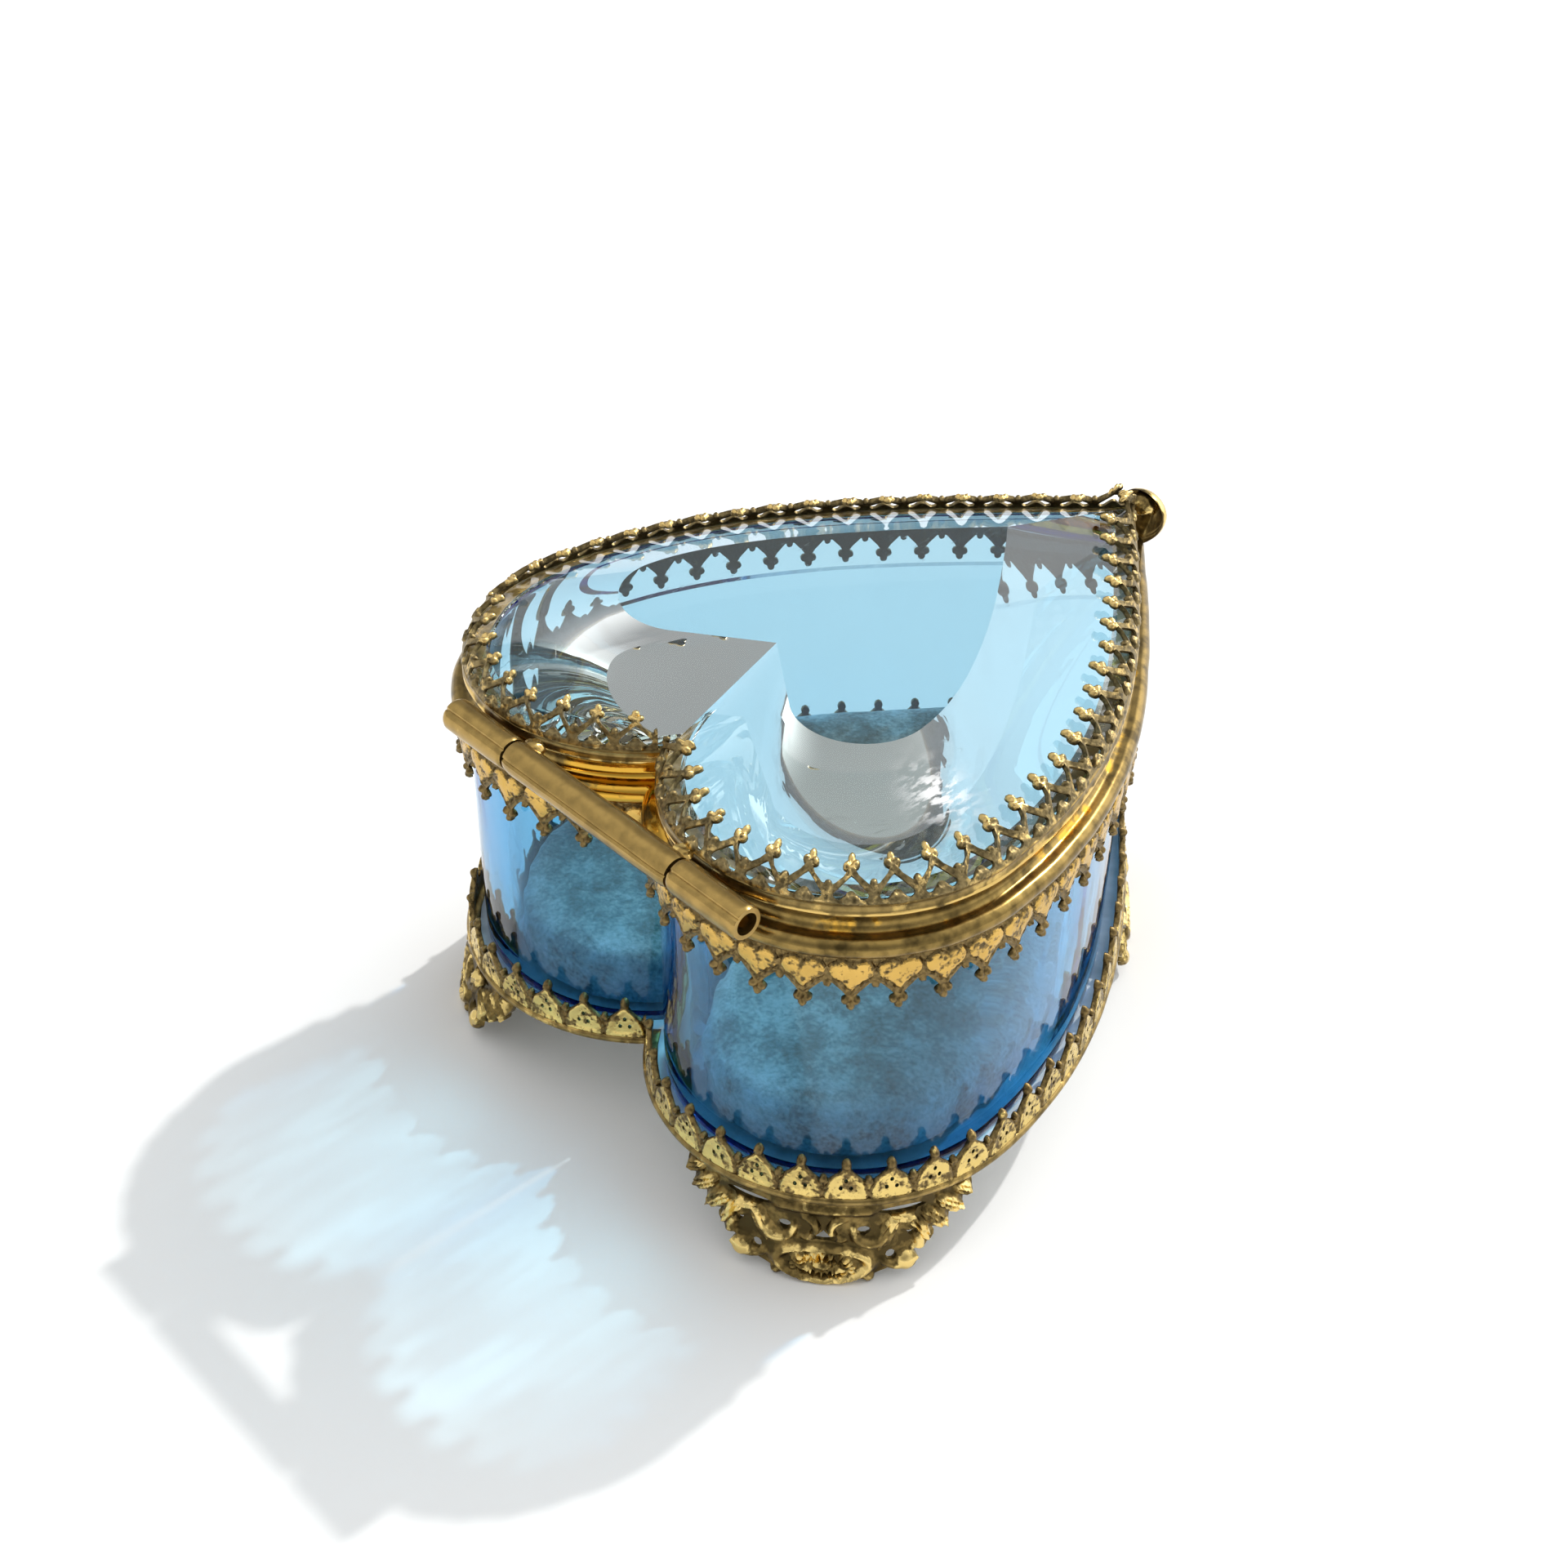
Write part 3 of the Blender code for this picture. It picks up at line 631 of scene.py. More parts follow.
def lid_place(path, side):
    """Folds the lid's strip inwards over the bevel, steeper on the right and where there is no room."""
    total = LID_CREST + TOP_BALL + BALL
    fold, rise = (2.8, 2.5) if side > 0 else (3.5, 2.25)
    lift_reach = 9.0 if side > 0 else 3.0

    def place(s, v, push):
        x, y, nx, ny = along(path, s)
        f = v / total
        beyond = s > path[-1, 4] / 2
        room = np.where(beyond, (x - 0.35) / np.maximum(nx, 0.05), fold)
        share = np.clip(room / fold, 0.1, 1)
        lifted = step(lift_reach - s, 0.0, lift_reach)
        share = share * (1 - 0.55 * lifted)
        spot = np.column_stack([s * 0.45, v * 0.2, np.zeros(len(s))])
        jitter = wander(spot, 1.0, 11 + side)
        into = fold * share * (0.4 * f + 0.6 * f * f) * (1 + 0.2 * jitter)
        up = rise * (1.5 * f - 0.5 * f * f) + (1 - share) * 1.1 * f * f + 0.12 * jitter * f + 0.25 * lifted
        slope = rise * (1.5 - f) + (1 - share) * 2.2 * f
        lean = fold * share * (0.4 + 1.2 * f)
        size = np.hypot(slope, lean)
        out = -into + push * slope / size
        z = LID_RIM_TOP - 0.15 + up + push * lean / size
        return np.column_stack([side * (x + nx * out), y + ny * out, z])

    return place


# ---- Rims ----

def band_piece(name, section, marks, seed, material, body, node, notch_solder_and_painted_highlight=0.0):
    """A brass band swept round the heart; marks holds the gilding of each point of its section."""
    points, faces = sweep_heart(section, seed)
    gilt_and_painted_light = np.repeat(marks, len(points) // len(section))
    # Near the notch, extra gilding: solder, and a painted highlight on the cove there.
    gilt_and_painted_light += notch_solder_and_painted_highlight * step(8 - np.abs(points[:, 0]), 0, 3) * step(points[:, 1], 0, 3)
    make_piece(name, (points, faces), material, body, node, {"gilt_and_painted_light": gilt_and_painted_light})


def build_base_rim(brass):
    edge = 0.4
    section = arc((-edge, BASE_BOTTOM + edge), edge, -90, 80, 12)
    section += [(-1.0, BASE_BOTTOM + 0.75), (-1.3, BASE_BOTTOM + 0.6), (-1.3, BASE_BOTTOM + 0.25)]
    section += [(-1.0, BASE_BOTTOM)]
    band_piece("base_rim_band", section, [0.35] * len(section), 3, brass["band"], "case", "base_rim")


def build_body_top(brass):
    """Round bead with a polished cove above it and a flat ring over the glass."""
    radius = 0.85
    bead = (-1.4, BEAD_BOTTOM + radius)
    lip = (-2.35, BODY_TOP - 0.12)
    seat = GLASS_TOP + 0.35
    round_part = arc(bead, radius, -115, 85, 18)
    cove = bend((bead[0] - 0.1, bead[1] + radius - 0.01), (-2.5, bead[1] + radius - 0.05), lip, 10)
    inner = [(-2.45, BODY_TOP), (-2.75, BODY_TOP), (-2.85, BODY_TOP - 0.12), (-2.9, seat + 0.65)]
    inner += [(-3.95, seat + 0.55), (-3.95, seat + 0.05), (-1.8, seat)]
    marks = [0.1] * len(round_part) + [0.4] * len(cove) + [0.8] * len(inner)
    band_piece("body_top_bead", round_part + cove + inner, marks, 5, brass["bead"], "case",
               "body_top_rim", 0.6)


def build_lid_rim(brass):
    """Rolled edge, a wall up to the strip and a ledge under the glass."""
    roll = 0.32
    inner_wall = -LID_INSET - 0.42
    section = arc((-LID_INSET - roll, LID_BOTTOM + roll), roll, -90, 20, 6)
    # The rolled edge is gilded bright as a painted highlight.
    marks = [0.75] * len(section)
    section += bend(section[-1], (-LID_INSET - 0.28, LID_BOTTOM + 0.8),
                    (-LID_INSET - 0.06, LID_RIM_TOP - 0.15), 6)
    section += [(-LID_INSET - 0.2, LID_RIM_TOP), (inner_wall, LID_RIM_TOP)]
    section += [(inner_wall - 0.1, LID_BOTTOM + 0.45), (-LID_LEDGE_INSET, LID_LEDGE)]
    section += [(-LID_LEDGE_INSET, LID_BOTTOM)]
    marks += [0.35] * (len(section) - len(marks))
    band_piece("lid_rim_band", section, marks, 9, brass["band"], "lid", "lid_rim")


# ---- Glass ----

def build_glass_walls(glass):
    """One bent pane on each side: wavy blown glass, ground a little thinner inside its top."""
    outer = -GLASS_INSET
    inner = outer - WALL_THICK
    soft = 0.35
    ground = GLASS_TOP - 4.9
    thinned = inner + 0.3
    heights = np.linspace(GLASS_BOTTOM + soft, GLASS_TOP - soft, 24)
    heights = np.sort(np.append(heights, (ground - 0.1, ground + 0.1)))
    section = [(outer, z) for z in heights]
    section += [(outer - 0.1, GLASS_TOP - 0.1), (outer - soft, GLASS_TOP)]
    section += [(thinned + soft, GLASS_TOP), (thinned + 0.1, GLASS_TOP - 0.1)]
    section += [(thinned if z > ground else inner, z) for z in heights[::-1]]
    section += [(inner + 0.1, GLASS_BOTTOM + 0.1), (inner + soft, GLASS_BOTTOM)]
    section += [(outer - soft, GLASS_BOTTOM), (outer - 0.1, GLASS_BOTTOM + 0.1)]
    for side, word in SIDES.items():
        points = np.vstack([ring(half_outline(offset, 90, 120, CUT) * (side, 1), z) for offset, z in section])
        count = len(points) // len(section)
        swell = 0.05 * wander(points * (1, 1, 0.35), 0.22, 17) + 0.012 * wander(points * (1, 1, 0.3), 0.9, 19)
        away = points - (side * LOBE_X * 0.6, -8.0, 0.0)
        away[:, 2] = 0
        away /= np.linalg.norm(away, axis=1)[:, None]
        points += away * swell[:, None]
        faces = join_rows(len(section), count, True, False)
        faces += [[r * count + end for r in range(len(section))] for end in (0, count - 1)]
        make_piece("glass_wall_" + word, (points, faces), glass["blue"], "case", "glass_side_" + word,
                   smooth=40)


def lid_flat_outline():
    """Raised flat of the lid: a smaller heart with a sharp cusp, matched to half_outline's points."""
    cusp_y = -3.4
    point_y = -31.0
    lead_steps = LOBE_STEPS - LOBE_STEPS // 2
    curve = arc((10.5, -2.9), 5.8, 128, -12, LOBE_STEPS // 2)
    start, end = curve[0], curve[-1]
    half = [(start[0] * i / lead_steps, cusp_y + (start[1] - cusp_y) * i / lead_steps)
            for i in range(lead_steps)]
    half += curve + bend(end, (end[0] - 1.2, end[1] - 9.0), (0.0, point_y), SIDE_STEPS)
    return mirror_closed(np.array(half))


def build_lid_glass(glass):
    """Thick clear heart, rebated to drop through the rim, with a wide ground bevel on top.

    Creases run across the bevel from the flat's cusp to the notch and from tip to tip.
    """
    edge = full_outline(-LID_GLASS_INSET)
    plug = full_outline(-LID_LEDGE_INSET - 0.25)
    flat = lid_flat_outline()
    edge_bottom = LID_LEDGE + 0.25
    edge_top = LID_RIM_TOP + 0.1
    bevel_steps = 8
    rings = [ring(full_outline(-LID_LEDGE_INSET - 0.4), LID_GLASS_BOTTOM)]
    rings += [ring(plug, LID_GLASS_BOTTOM + 0.15), ring(plug, edge_bottom)]
    rings += [ring(edge, edge_bottom), ring(edge, edge_top)]
    for f in (i / bevel_steps for i in range(1, bevel_steps + 1)):
        rings.append(ring(edge + (flat - edge) * f, edge_top + (LID_TOP - edge_top) * f))
    points = np.vstack(rings)
    bm = loft(rings)
    bm.verts.index_update()
    faces = [[v.index for v in face.verts] for face in bm.faces]
    bm.free()
    on_flat = np.arange(len(points)) >= len(points) - len(flat)
    from_scuff = np.hypot(points[:, 0] + 21.2, points[:, 1] + 0.6)
    scuff = np.exp(-((from_scuff / 2.1) ** 2)) * (points[:, 2] > edge_top)
    make_piece("lid_bevelled_glass", (points, faces), glass["clear"], "lid", "lid_glass",
               {"flat": on_flat, "scuff": scuff}, smooth=8)


# ---- Feet ----

def foot_outline():
    """Right half outline of the pressed foot, then its mirror image: a along the rim, z up."""
    foot_edge = FOOT_TOP + 0.2
    lower = [(0.0, 0.0), (1.2, 0.0), (2.3, 0.12), (2.95, 0.3)]
    lower += arc((3.7, 0.55), 0.55, -140, 10, 5)
    lower += [(4.75, 0.85), (5.5, 1.05)]
    lower += arc((6.8, 1.75), 0.98, -120, 60, 8)
    lower += [(7.5, 2.9)]
    for a, z, radius, end in ((8.55, 3.65, 0.85, 40), (10.0, 4.85, 0.85, 40), (11.5, 6.05, 0.8, 30)):
        lower += arc((a, z), radius, -110, end, 5)
    lower += [(12.75, 6.7), (13.0, 7.2), (FOOT_HALF, foot_edge)]
    top = [(FOOT_HALF * (1 - f), foot_edge) for f in np.linspace(0, 1, 24)[1:-1]]
    right = lower + top + [(0.0, foot_edge)]
    left = [(-a, z) for a, z in reversed(right[1:-1])]
    return np.array(right + left)


def ellipse(cx, cy, rx, ry, steps):
    unit_circle = arc((0, 0), 1.0, 0, 360 - 360 / steps, steps - 1)
    return np.array([(cx + x * rx, cy + y * ry) for x, y in unit_circle])


def foot_holes():
    """The oval above the sunburst, and on each side a slot under the rim and three small holes."""
    holes = [ellipse(0, 4.5, 1.2, 0.5, 12)]
    for side in SIDES:
        holes.append(ellipse(side * 6.6, 6.95, 2.1, 0.33, 14))
        holes += [ellipse(side * a, z, half_width, half_height, 10) for a, z, half_width, half_height
                  in ((3.3, 5.1, 0.6, 0.42), (5.55, 2.35, 0.42, 0.5), (7.3, 4.5, 0.36, 0.5))]
    return holes


def swirl(a, z, centre, radius, start, end, width):
    """Rounded rib along an arc, tapering to its ends, angles in degrees."""
    dx = a - centre[0]
    dz = z - centre[1]
    span = (end - start) % 360
    into = (np.degrees(np.arctan2(dz, dx)) - start) % 360
    taper = np.sin(np.pi * np.clip(into / span, 0, 1)) ** 0.5 * (into <= span)
    away = np.abs(np.hypot(dx, dz) - radius) / np.maximum(width * (0.45 + 0.55 * taper), 1e-3)
    return np.sqrt(np.clip(1 - away**2, 0, None)) * taper


def leaf(x, z, root, length, width, turn, veins=4):
    """Pointed leaf from its root, ribbed across, turned by an angle in degrees."""
    angle = math.radians(turn)
    u = ((x - root[0]) * math.cos(angle) + (z - root[1]) * math.sin(angle)) / length
    w = (-(x - root[0]) * math.sin(angle) + (z - root[1]) * math.cos(angle)) / width
    belly = np.sqrt(np.clip(u, 0, 1)) * np.sqrt(np.clip(1 - u, 0, 1)) * 2.0
    across = np.abs(w) / np.maximum(belly, 1e-3)
    body = np.sqrt(np.clip(1 - across**2, 0, None)) * (u > 0) * (u < 1)
    return body * (0.62 + 0.2 * np.cos(w * math.pi * veins) + 0.3 * u)


def foot_relief(a, z):
    """Sunburst in an oval, scrolls and balls beside it, acanthus leaves out to the rim."""
    x = np.abs(a)
    oval = np.hypot(x / 4.15, (z - 1.8) / 1.75)
    inner = np.hypot(x / 2.9, (z - 1.55) / 1.2)
    spread = np.arctan2((z - 1.55) * 2.2, a)
    rays = (0.42 + 0.4 * np.cos(spread * 20)) * step(1.0 - inner, 0, 0.12) * step(inner, 0.3, 0.42)
    boss = 0.8 * np.sqrt(np.clip(1 - (inner / 0.3) ** 2, 0, None))
    shapes = [0.95 * ridge(oval - 0.9, 0.13), rays, boss]
    shapes += [1.15 * ball(x, z, 6.8, 1.75, 0.95), 1.1 * ball(x, z, 3.7, 0.55, 0.52)]
    for height, centre, radius, start, end, width in (
            (1.0, (6.1, 3.3), 1.85, 215, 75, 0.5), (0.9, (3.9, 5.3), 1.45, 160, 20, 0.45),
            (0.8, (1.6, 5.2), 1.0, 70, 290, 0.34)):
        shapes.append(height * swirl(x, z, centre, radius, start, end, width))
    shapes.append(0.9 * leaf(x, z, (4.4, 3.2), 3.4, 0.75, 62, 3))
    for root, length, width, turn in (
            ((7.2, 5.6), 2.6, 0.85, -55), ((8.4, 6.3), 2.9, 0.9, -45), ((9.8, 7.0), 2.9, 0.85, -38),
            ((11.4, 7.7), 1.9, 0.8, -35), ((5.4, 6.1), 2.2, 0.6, 5)):
        shapes.append(leaf(x, z, root, length, width, turn))
    shapes.append(0.55 * ridge(z - FOOT_TOP + 0.55, 0.42) * step(4.8 - x, 0, 1.2))
    return np.maximum.reduce(shapes)


def foot_gilt_and_painted_relief_light(a, z):
    """Gilding rubbed through in patches, with painted highlight on what stands proud and painted shade in the
    recesses.
    """
    patches = wander(np.column_stack([a, z, np.zeros(len(a))]), 0.55, 23)
    # Painted highlight on raised relief and painted shade low in it, over rubbed-through patches.
    return -0.15 + 0.7 * patches + 0.75 * foot_relief(a, z)


def foot_place(path, centre_s, side):
    """Places a foot along the outline, flared outwards towards the floor."""

    def place(a, z, push):
        x, y, nx, ny = along(path, centre_s + a * side)
        low = np.clip(1 - z / FOOT_TOP, 0, 1)
        out = FOOT_FLARE * low**1.5 - FOOT_INSET + FOOT_RELIEF * push
        return np.column_stack([side * (x + nx * out), y + ny * out, z])

    return place


def build_feet(brass):
    path = half_path(0.0)
    start = math.pi - math.acos((LOBE_X - CUT) / LOBE_RADIUS)
    centres = {"back": LOBE_RADIUS * (start - BACK_FOOT_ANGLE), "front": path[-1, 4] - FRONT_FOOT_FROM_TIP}
    loops = [foot_outline()] + foot_holes()
    for end_word, centre_s in centres.items():
        for side, word in SIDES.items():
            name = f"foot_{end_word}_{word}"
            place = foot_place(path, centre_s, side)
            points, faces, marks = stamp(loops, foot_relief, foot_gilt_and_painted_relief_light, place, FOOT_DIE)
            make_piece(name + "_pressing", (points, faces), brass["foot"], "case", name,
                       {"gilt_and_painted_light": marks}, 60)


# ---- Hinge and lift tab ----

def tube(x0, x1, seam, seed):
    """Rolled tube along the hinge axis with an open seam line and slightly dented wall."""
    steps = 48
    stations = np.linspace(x0, x1, 34)
    rows = []
    for x, bore in [(x, False) for x in stations] + [(x, True) for x in stations[::-1]]:
        end = min(abs(x - x0), abs(x - x1))
        for angle in (2 * math.pi * i / steps for i in range(steps)):
            radius = BORE_RADIUS if bore else TUBE_RADIUS
            if not bore:
                radius -= 0.16 * math.exp(-((math.remainder(angle - seam, 2 * math.pi) / 0.07) ** 2))
                radius -= 0.12 * math.exp(-((end / 0.15) ** 2))
                radius += 0.035 * noise.noise(Vector((x * 0.4 + seed, math.cos(angle), math.sin(angle))))
            rows.append((x, AXIS_Y + radius * math.cos(angle), AXIS_Z + radius * math.sin(angle)))
    return np.array(rows), join_rows(2 * len(stations), steps)


def blob(centre, size, seed, steps=14):
    """Lump of solder: an uneven flattened ball."""
    points = []
    for tilt in (math.pi * i / steps for i in range(steps + 1)):
        for turn in (math.pi * k / steps for k in range(2 * steps)):
            way = Vector((math.sin(tilt) * math.cos(turn), math.sin(tilt) * math.sin(turn), math.cos(tilt)))
            swell = 1 + 0.28 * noise.noise(way * 1.7 + Vector((seed, 0, 0)))
            points.append([c + w * s * swell for c, w, s in zip(centre, way, size)])
    return np.array(points), join_rows(steps + 1, 2 * steps, False)


def merge_shapes(shapes):
    """Points and faces of several shapes as one."""
    faces = []
    count = 0
    for points, part_faces in shapes:
        faces += [[i + count for i in face] for face in part_faces]
        count += len(points)
    return np.vstack([points for points, _ in shapes]), faces


def tube_piece(name, rolled, lumps, gilding, brass, body, node):
    """A hinge tube with its solder; gilding holds the tube's mark and the solder's."""
    points, faces = merge_shapes([rolled] + lumps)
    gilt_and_painted_light = np.full(len(points), gilding[0])
    gilt_and_painted_light[len(rolled[0]):] = gilding[1]
    make_piece(name, (points, faces), brass["tube"], body, node, {"gilt_and_painted_light": gilt_and_painted_light})


def build_hinge(brass):
    seam = math.radians(15)
    lid_tube = tube(HINGE_X - LID_TUBE_HALF, HINGE_X + LID_TUBE_HALF, seam, 1.0)
    lumps = [blob((HINGE_X + side * (LID_TUBE_HALF - 0.9), AXIS_Y - 1.35, AXIS_Z + 0.75), (0.95, 0.75, 0.5),
                  3 + side) for side in SIDES]
    tube_piece("hinge_tube_lid", lid_tube, lumps, (0.15, 1.0), brass, "lid", "hinge_knuckle_lid")
    for side, word in SIDES.items():
        x0, x1 = sorted((HINGE_X + side * (LID_TUBE_HALF + 0.3), HINGE_X + side * TUBE_HALF))
        lump = blob(((x0 + x1) / 2, AXIS_Y - 1.0, AXIS_Z - 1.45), (2.6, 0.55, 0.6), 8 + side)
        tube_piece("hinge_tube_body_" + word, tube(x0, x1, seam + 0.5, 5.0 + side), [lump], (0.45, 0.9),
                   brass, "case", "hinge_knuckle_body_" + word)


def tab_skin(low, high, front, spokes, rings):
    """Front skin of the lift tab as points with their gilding: a domed leaf with a raised edge."""
    middle_z = low.z + 0.6 * (high.z - low.z)
    points, marks = [], []
    for f in (0.02 + 0.98 * r / rings for r in range(rings + 1)):
        for angle in (2 * math.pi * i / spokes for i in range(spokes)):
            up = math.sin(angle)
            x = high.x * math.cos(angle)
            z = (high.z - middle_z) * up
            if up < 0:
                x *= 1 - 0.45 * up * up
                z = (middle_z - low.z) * up
            depth = 1.7 * (1 - f * f) + 0.28 * math.exp(-(((f - 0.9) / 0.07) ** 2))
            vein = 0.1 * math.exp(-((x * f / 0.22) ** 2)) * (1 - f)
            points.append((x * f, -front - depth - vein, middle_z + z * f))
            # Painted highlight: the raised edge is gilded bright.
            marks.append(0.9 if f > 0.84 else 0.1)
    return np.array(points), marks


def build_lift_tab(brass):
    """Domed leaf with a midrib, and a short wide stem to the rim."""
    low, high = box_mm("lift_tab")
    front = -low.y - 2.4
    sheet = 0.32
    spokes, rings = 72, 22
    skin, marks = tab_skin(low, high, front, spokes, rings)
    count = len(skin)
    faces = join_rows(rings + 1, spokes, False)
    faces += [[i + count for i in face] for face in faces]
    rim = rings * spokes
    for i in range(spokes):
        j = (i + 1) % spokes
        faces.append((rim + i, rim + j, rim + j + count, rim + i + count))
    faces += [[i + first for i in range(spokes)] for first in (0, count)]
    leaf_points = np.vstack([skin, skin + (0, sheet, 0)])
    stem = blob((0, -front + 0.3, 38.2), (1.5, 1.3, 0.9), 4)
    marks += [0.1] * count + [0.4] * len(stem[0])
    make_piece("lift_tab_leaf", merge_shapes([(leaf_points, faces), stem]), brass["foot"], "lid", "lift_tab",
               {"gilt_and_painted_light": marks}, 50)


# ---- Pad ----

def build_pad(velvet):
    """Velvet-covered pad, darker on top, with painted light making its side paler: a soft heart swelled by a
    cloth simulation.

    The simulation runs at twenty times the pad's size, and no point may move far.
    """
    grow = 20.0
    farthest = 0.55 * MM * grow
    inset = PAD_INSET + 0.1
    layers = [(inset + 0.2, PAD_BOTTOM + 0.05), (inset, PAD_BOTTOM + 0.4), (inset, PAD_TOP - 1.5),
              (inset + 0.3, PAD_TOP - 0.9), (inset + 1.0, PAD_TOP - 0.5), (inset + 3.0, PAD_TOP - 0.3)]
    bm = loft([(ring(full_outline(-way_in), z) + (0, LOBE_Y, 0)) * MM * grow for way_in, z in layers])
    bmesh.ops.recalc_face_normals(bm, faces=bm.faces)
    pad = new_object("velvet_pad", mesh_of(bm, "velvet_pad"))
    bpy.context.view_layer.objects.active = pad
    remesh = pad.modifiers.new("remesh", "REMESH")
    remesh.mode = "VOXEL"
    remesh.voxel_size = 0.6 * MM * grow
    apply_modifier(pad, remesh)
    before = vertex_places(pad.data)
    swell_cloth(pad)
    moved = vertex_places(pad.data) - before
    length = np.maximum(np.linalg.norm(moved, axis=1), 1e-9)
    moved *= np.minimum(1.0, farthest / length)[:, None]
    placed = (before + moved) / grow
    placed[:, 2] = np.clip(placed[:, 2], (PAD_BOTTOM - 0.1) * MM, PAD_TOP * MM)
    place_vertices(pad.data, placed)
    nap = pad.modifiers.new("subdivide", "SUBSURF")
    nap.levels = 1
    nap.render_levels = 1
    apply_modifier(pad, nap)
    ruffle_pad(pad.data)
    mark_painted_light_side(pad.data, inset)
    pad.data.shade_smooth()
    pad.data.materials.append(velvet)
    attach(pad, "case")
    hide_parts("base_pad")


def apply_modifier(item, modifier):
    graph = bpy.context.evaluated_depsgraph_get()
    mesh = bpy.data.meshes.new_from_object(item.evaluated_get(graph))
    item.modifiers.remove(modifier)
    item.data = mesh


def swell_cloth(pad):
    """Blow the pad up from inside for twenty frames, without gravity."""
    cloth = pad.modifiers.new("swell", "CLOTH")
    cloth.settings.use_pressure = True
    cloth.settings.uniform_pressure_force = 4.0
    cloth.settings.effector_weights.gravity = 0.0
    scene = bpy.context.scene
    for number in range(1, 21):
        scene.frame_set(number)
        bpy.context.view_layer.update()
    apply_modifier(pad, cloth)
    scene.frame_set(1)


def ruffle_pad(mesh):
    """Small unevenness of worn velvet over its stuffing."""
    places = vertex_places(mesh)
    normals = np.array([vertex.normal for vertex in mesh.vertices])
    height = sum(amount * wander(places / MM, scale, seed)
                 for amount, scale, seed in ((0.16, 0.16, 31), (0.07, 0.55, 37), (0.035, 1.8, 41)))
    height *= step(places[:, 2] / MM, PAD_BOTTOM + 0.3, PAD_BOTTOM + 1.5)
    places += normals * height[:, None] * MM
    places[:, 2] = np.minimum(places[:, 2], PAD_TOP * MM)
    place_vertices(mesh, places)


def mark_painted_light_side(mesh, inset):
    """Edge attribute for painted light: 1 on the pad's side, fading over its top within a few mm of the side.
    """
    places = vertex_places(mesh) / MM - (0.0, LOBE_Y, 0.0)
    rim = full_outline(-inset)[::4]
    away = np.hypot(places[:, :1] - rim[:, 0], places[:, 1:2] - rim[:, 1]).min(1)
    on_side = step(-places[:, 2], 1.5 - PAD_TOP, 3.0 - PAD_TOP)
    mark_points(mesh, "edge", np.maximum(on_side, 0.45 * step(-away, -4.0, -0.5)))


# ---- Materials ----

def new_material(name):
    material = bpy.data.materials.new(name)
    material.use_nodes = True
    tree = material.node_tree
    return material, tree, tree.nodes["Principled BSDF"]


def feed(tree, node, **inputs):
    """Give a node's inputs values or links; _ in a name is a space, and N0 is the input numbered 0."""
    for key, value in inputs.items():
        numbered = key[0] == "N" and key[1:].isdigit()
        socket = node.inputs[int(key[1:]) if numbered else key.replace("_", " ")]
        if isinstance(value, bpy.types.NodeSocket):
            tree.links.new(value, socket)
        else:
            socket.default_value = value
    return node


def add_node(tree, kind, setting=None, **inputs):
    """A shader node; setting is the name and value of one of its settings."""
    made = tree.nodes.new(kind)
    if setting:
        setattr(made, *setting)
    return feed(tree, made, **inputs)


def attribute(tree, name):
    return add_node(tree, "ShaderNodeAttribute", ("attribute_name", name)).outputs["Fac"]


def noise_at(tree, scale, detail=3.0, stretch=None, roughness=0.5):
    """Noise value over object space; stretch scales the coordinates of x, y and z."""
    place = tree.nodes.new("ShaderNodeTexCoord").outputs["Object"]
    if stretch:
        place = add_node(tree, "ShaderNodeMapping", Vector=place, Scale=stretch).outputs["Vector"]
    made = add_node(tree, "ShaderNodeTexNoise", Vector=place, Scale=scale, Detail=detail, Roughness=roughness)
    return made.outputs["Fac"]


def ramp(tree, value, stops):
    """Colour ramp of (position, colour) stops; a single number stands for a grey."""
    made = add_node(tree, "ShaderNodeValToRGB", Fac=value)
    elements = made.color_ramp.elements
    while len(elements) < len(stops):
        elements.new(0.5)
    for element, (position, colour) in zip(elements, stops):
        element.position = position
        element.color = (*((colour,) * 3 if isinstance(colour, float) else colour), 1.0)
    return made.outputs["Color"]


def math_node(tree, operation, a, b):
    return add_node(tree, "ShaderNodeMath", ("operation", operation), N0=a, N1=b).outputs["Value"]


def weighted_sum(tree, a, a_weight, b, b_weight):
    a_share = math_node(tree, "MULTIPLY", a, a_weight)
    return math_node(tree, "ADD", a_share, math_node(tree, "MULTIPLY", b, b_weight))


def mix_colour(tree, factor, a, b):
    return add_node(tree, "ShaderNodeMix", ("data_type", "RGBA"), N0=factor, N6=a, N7=b).outputs[2]


def bump(tree, height, strength, distance):
    made = add_node(tree, "ShaderNodeBump", Height=height, Strength=strength, Distance=distance)
    return made.outputs["Normal"]


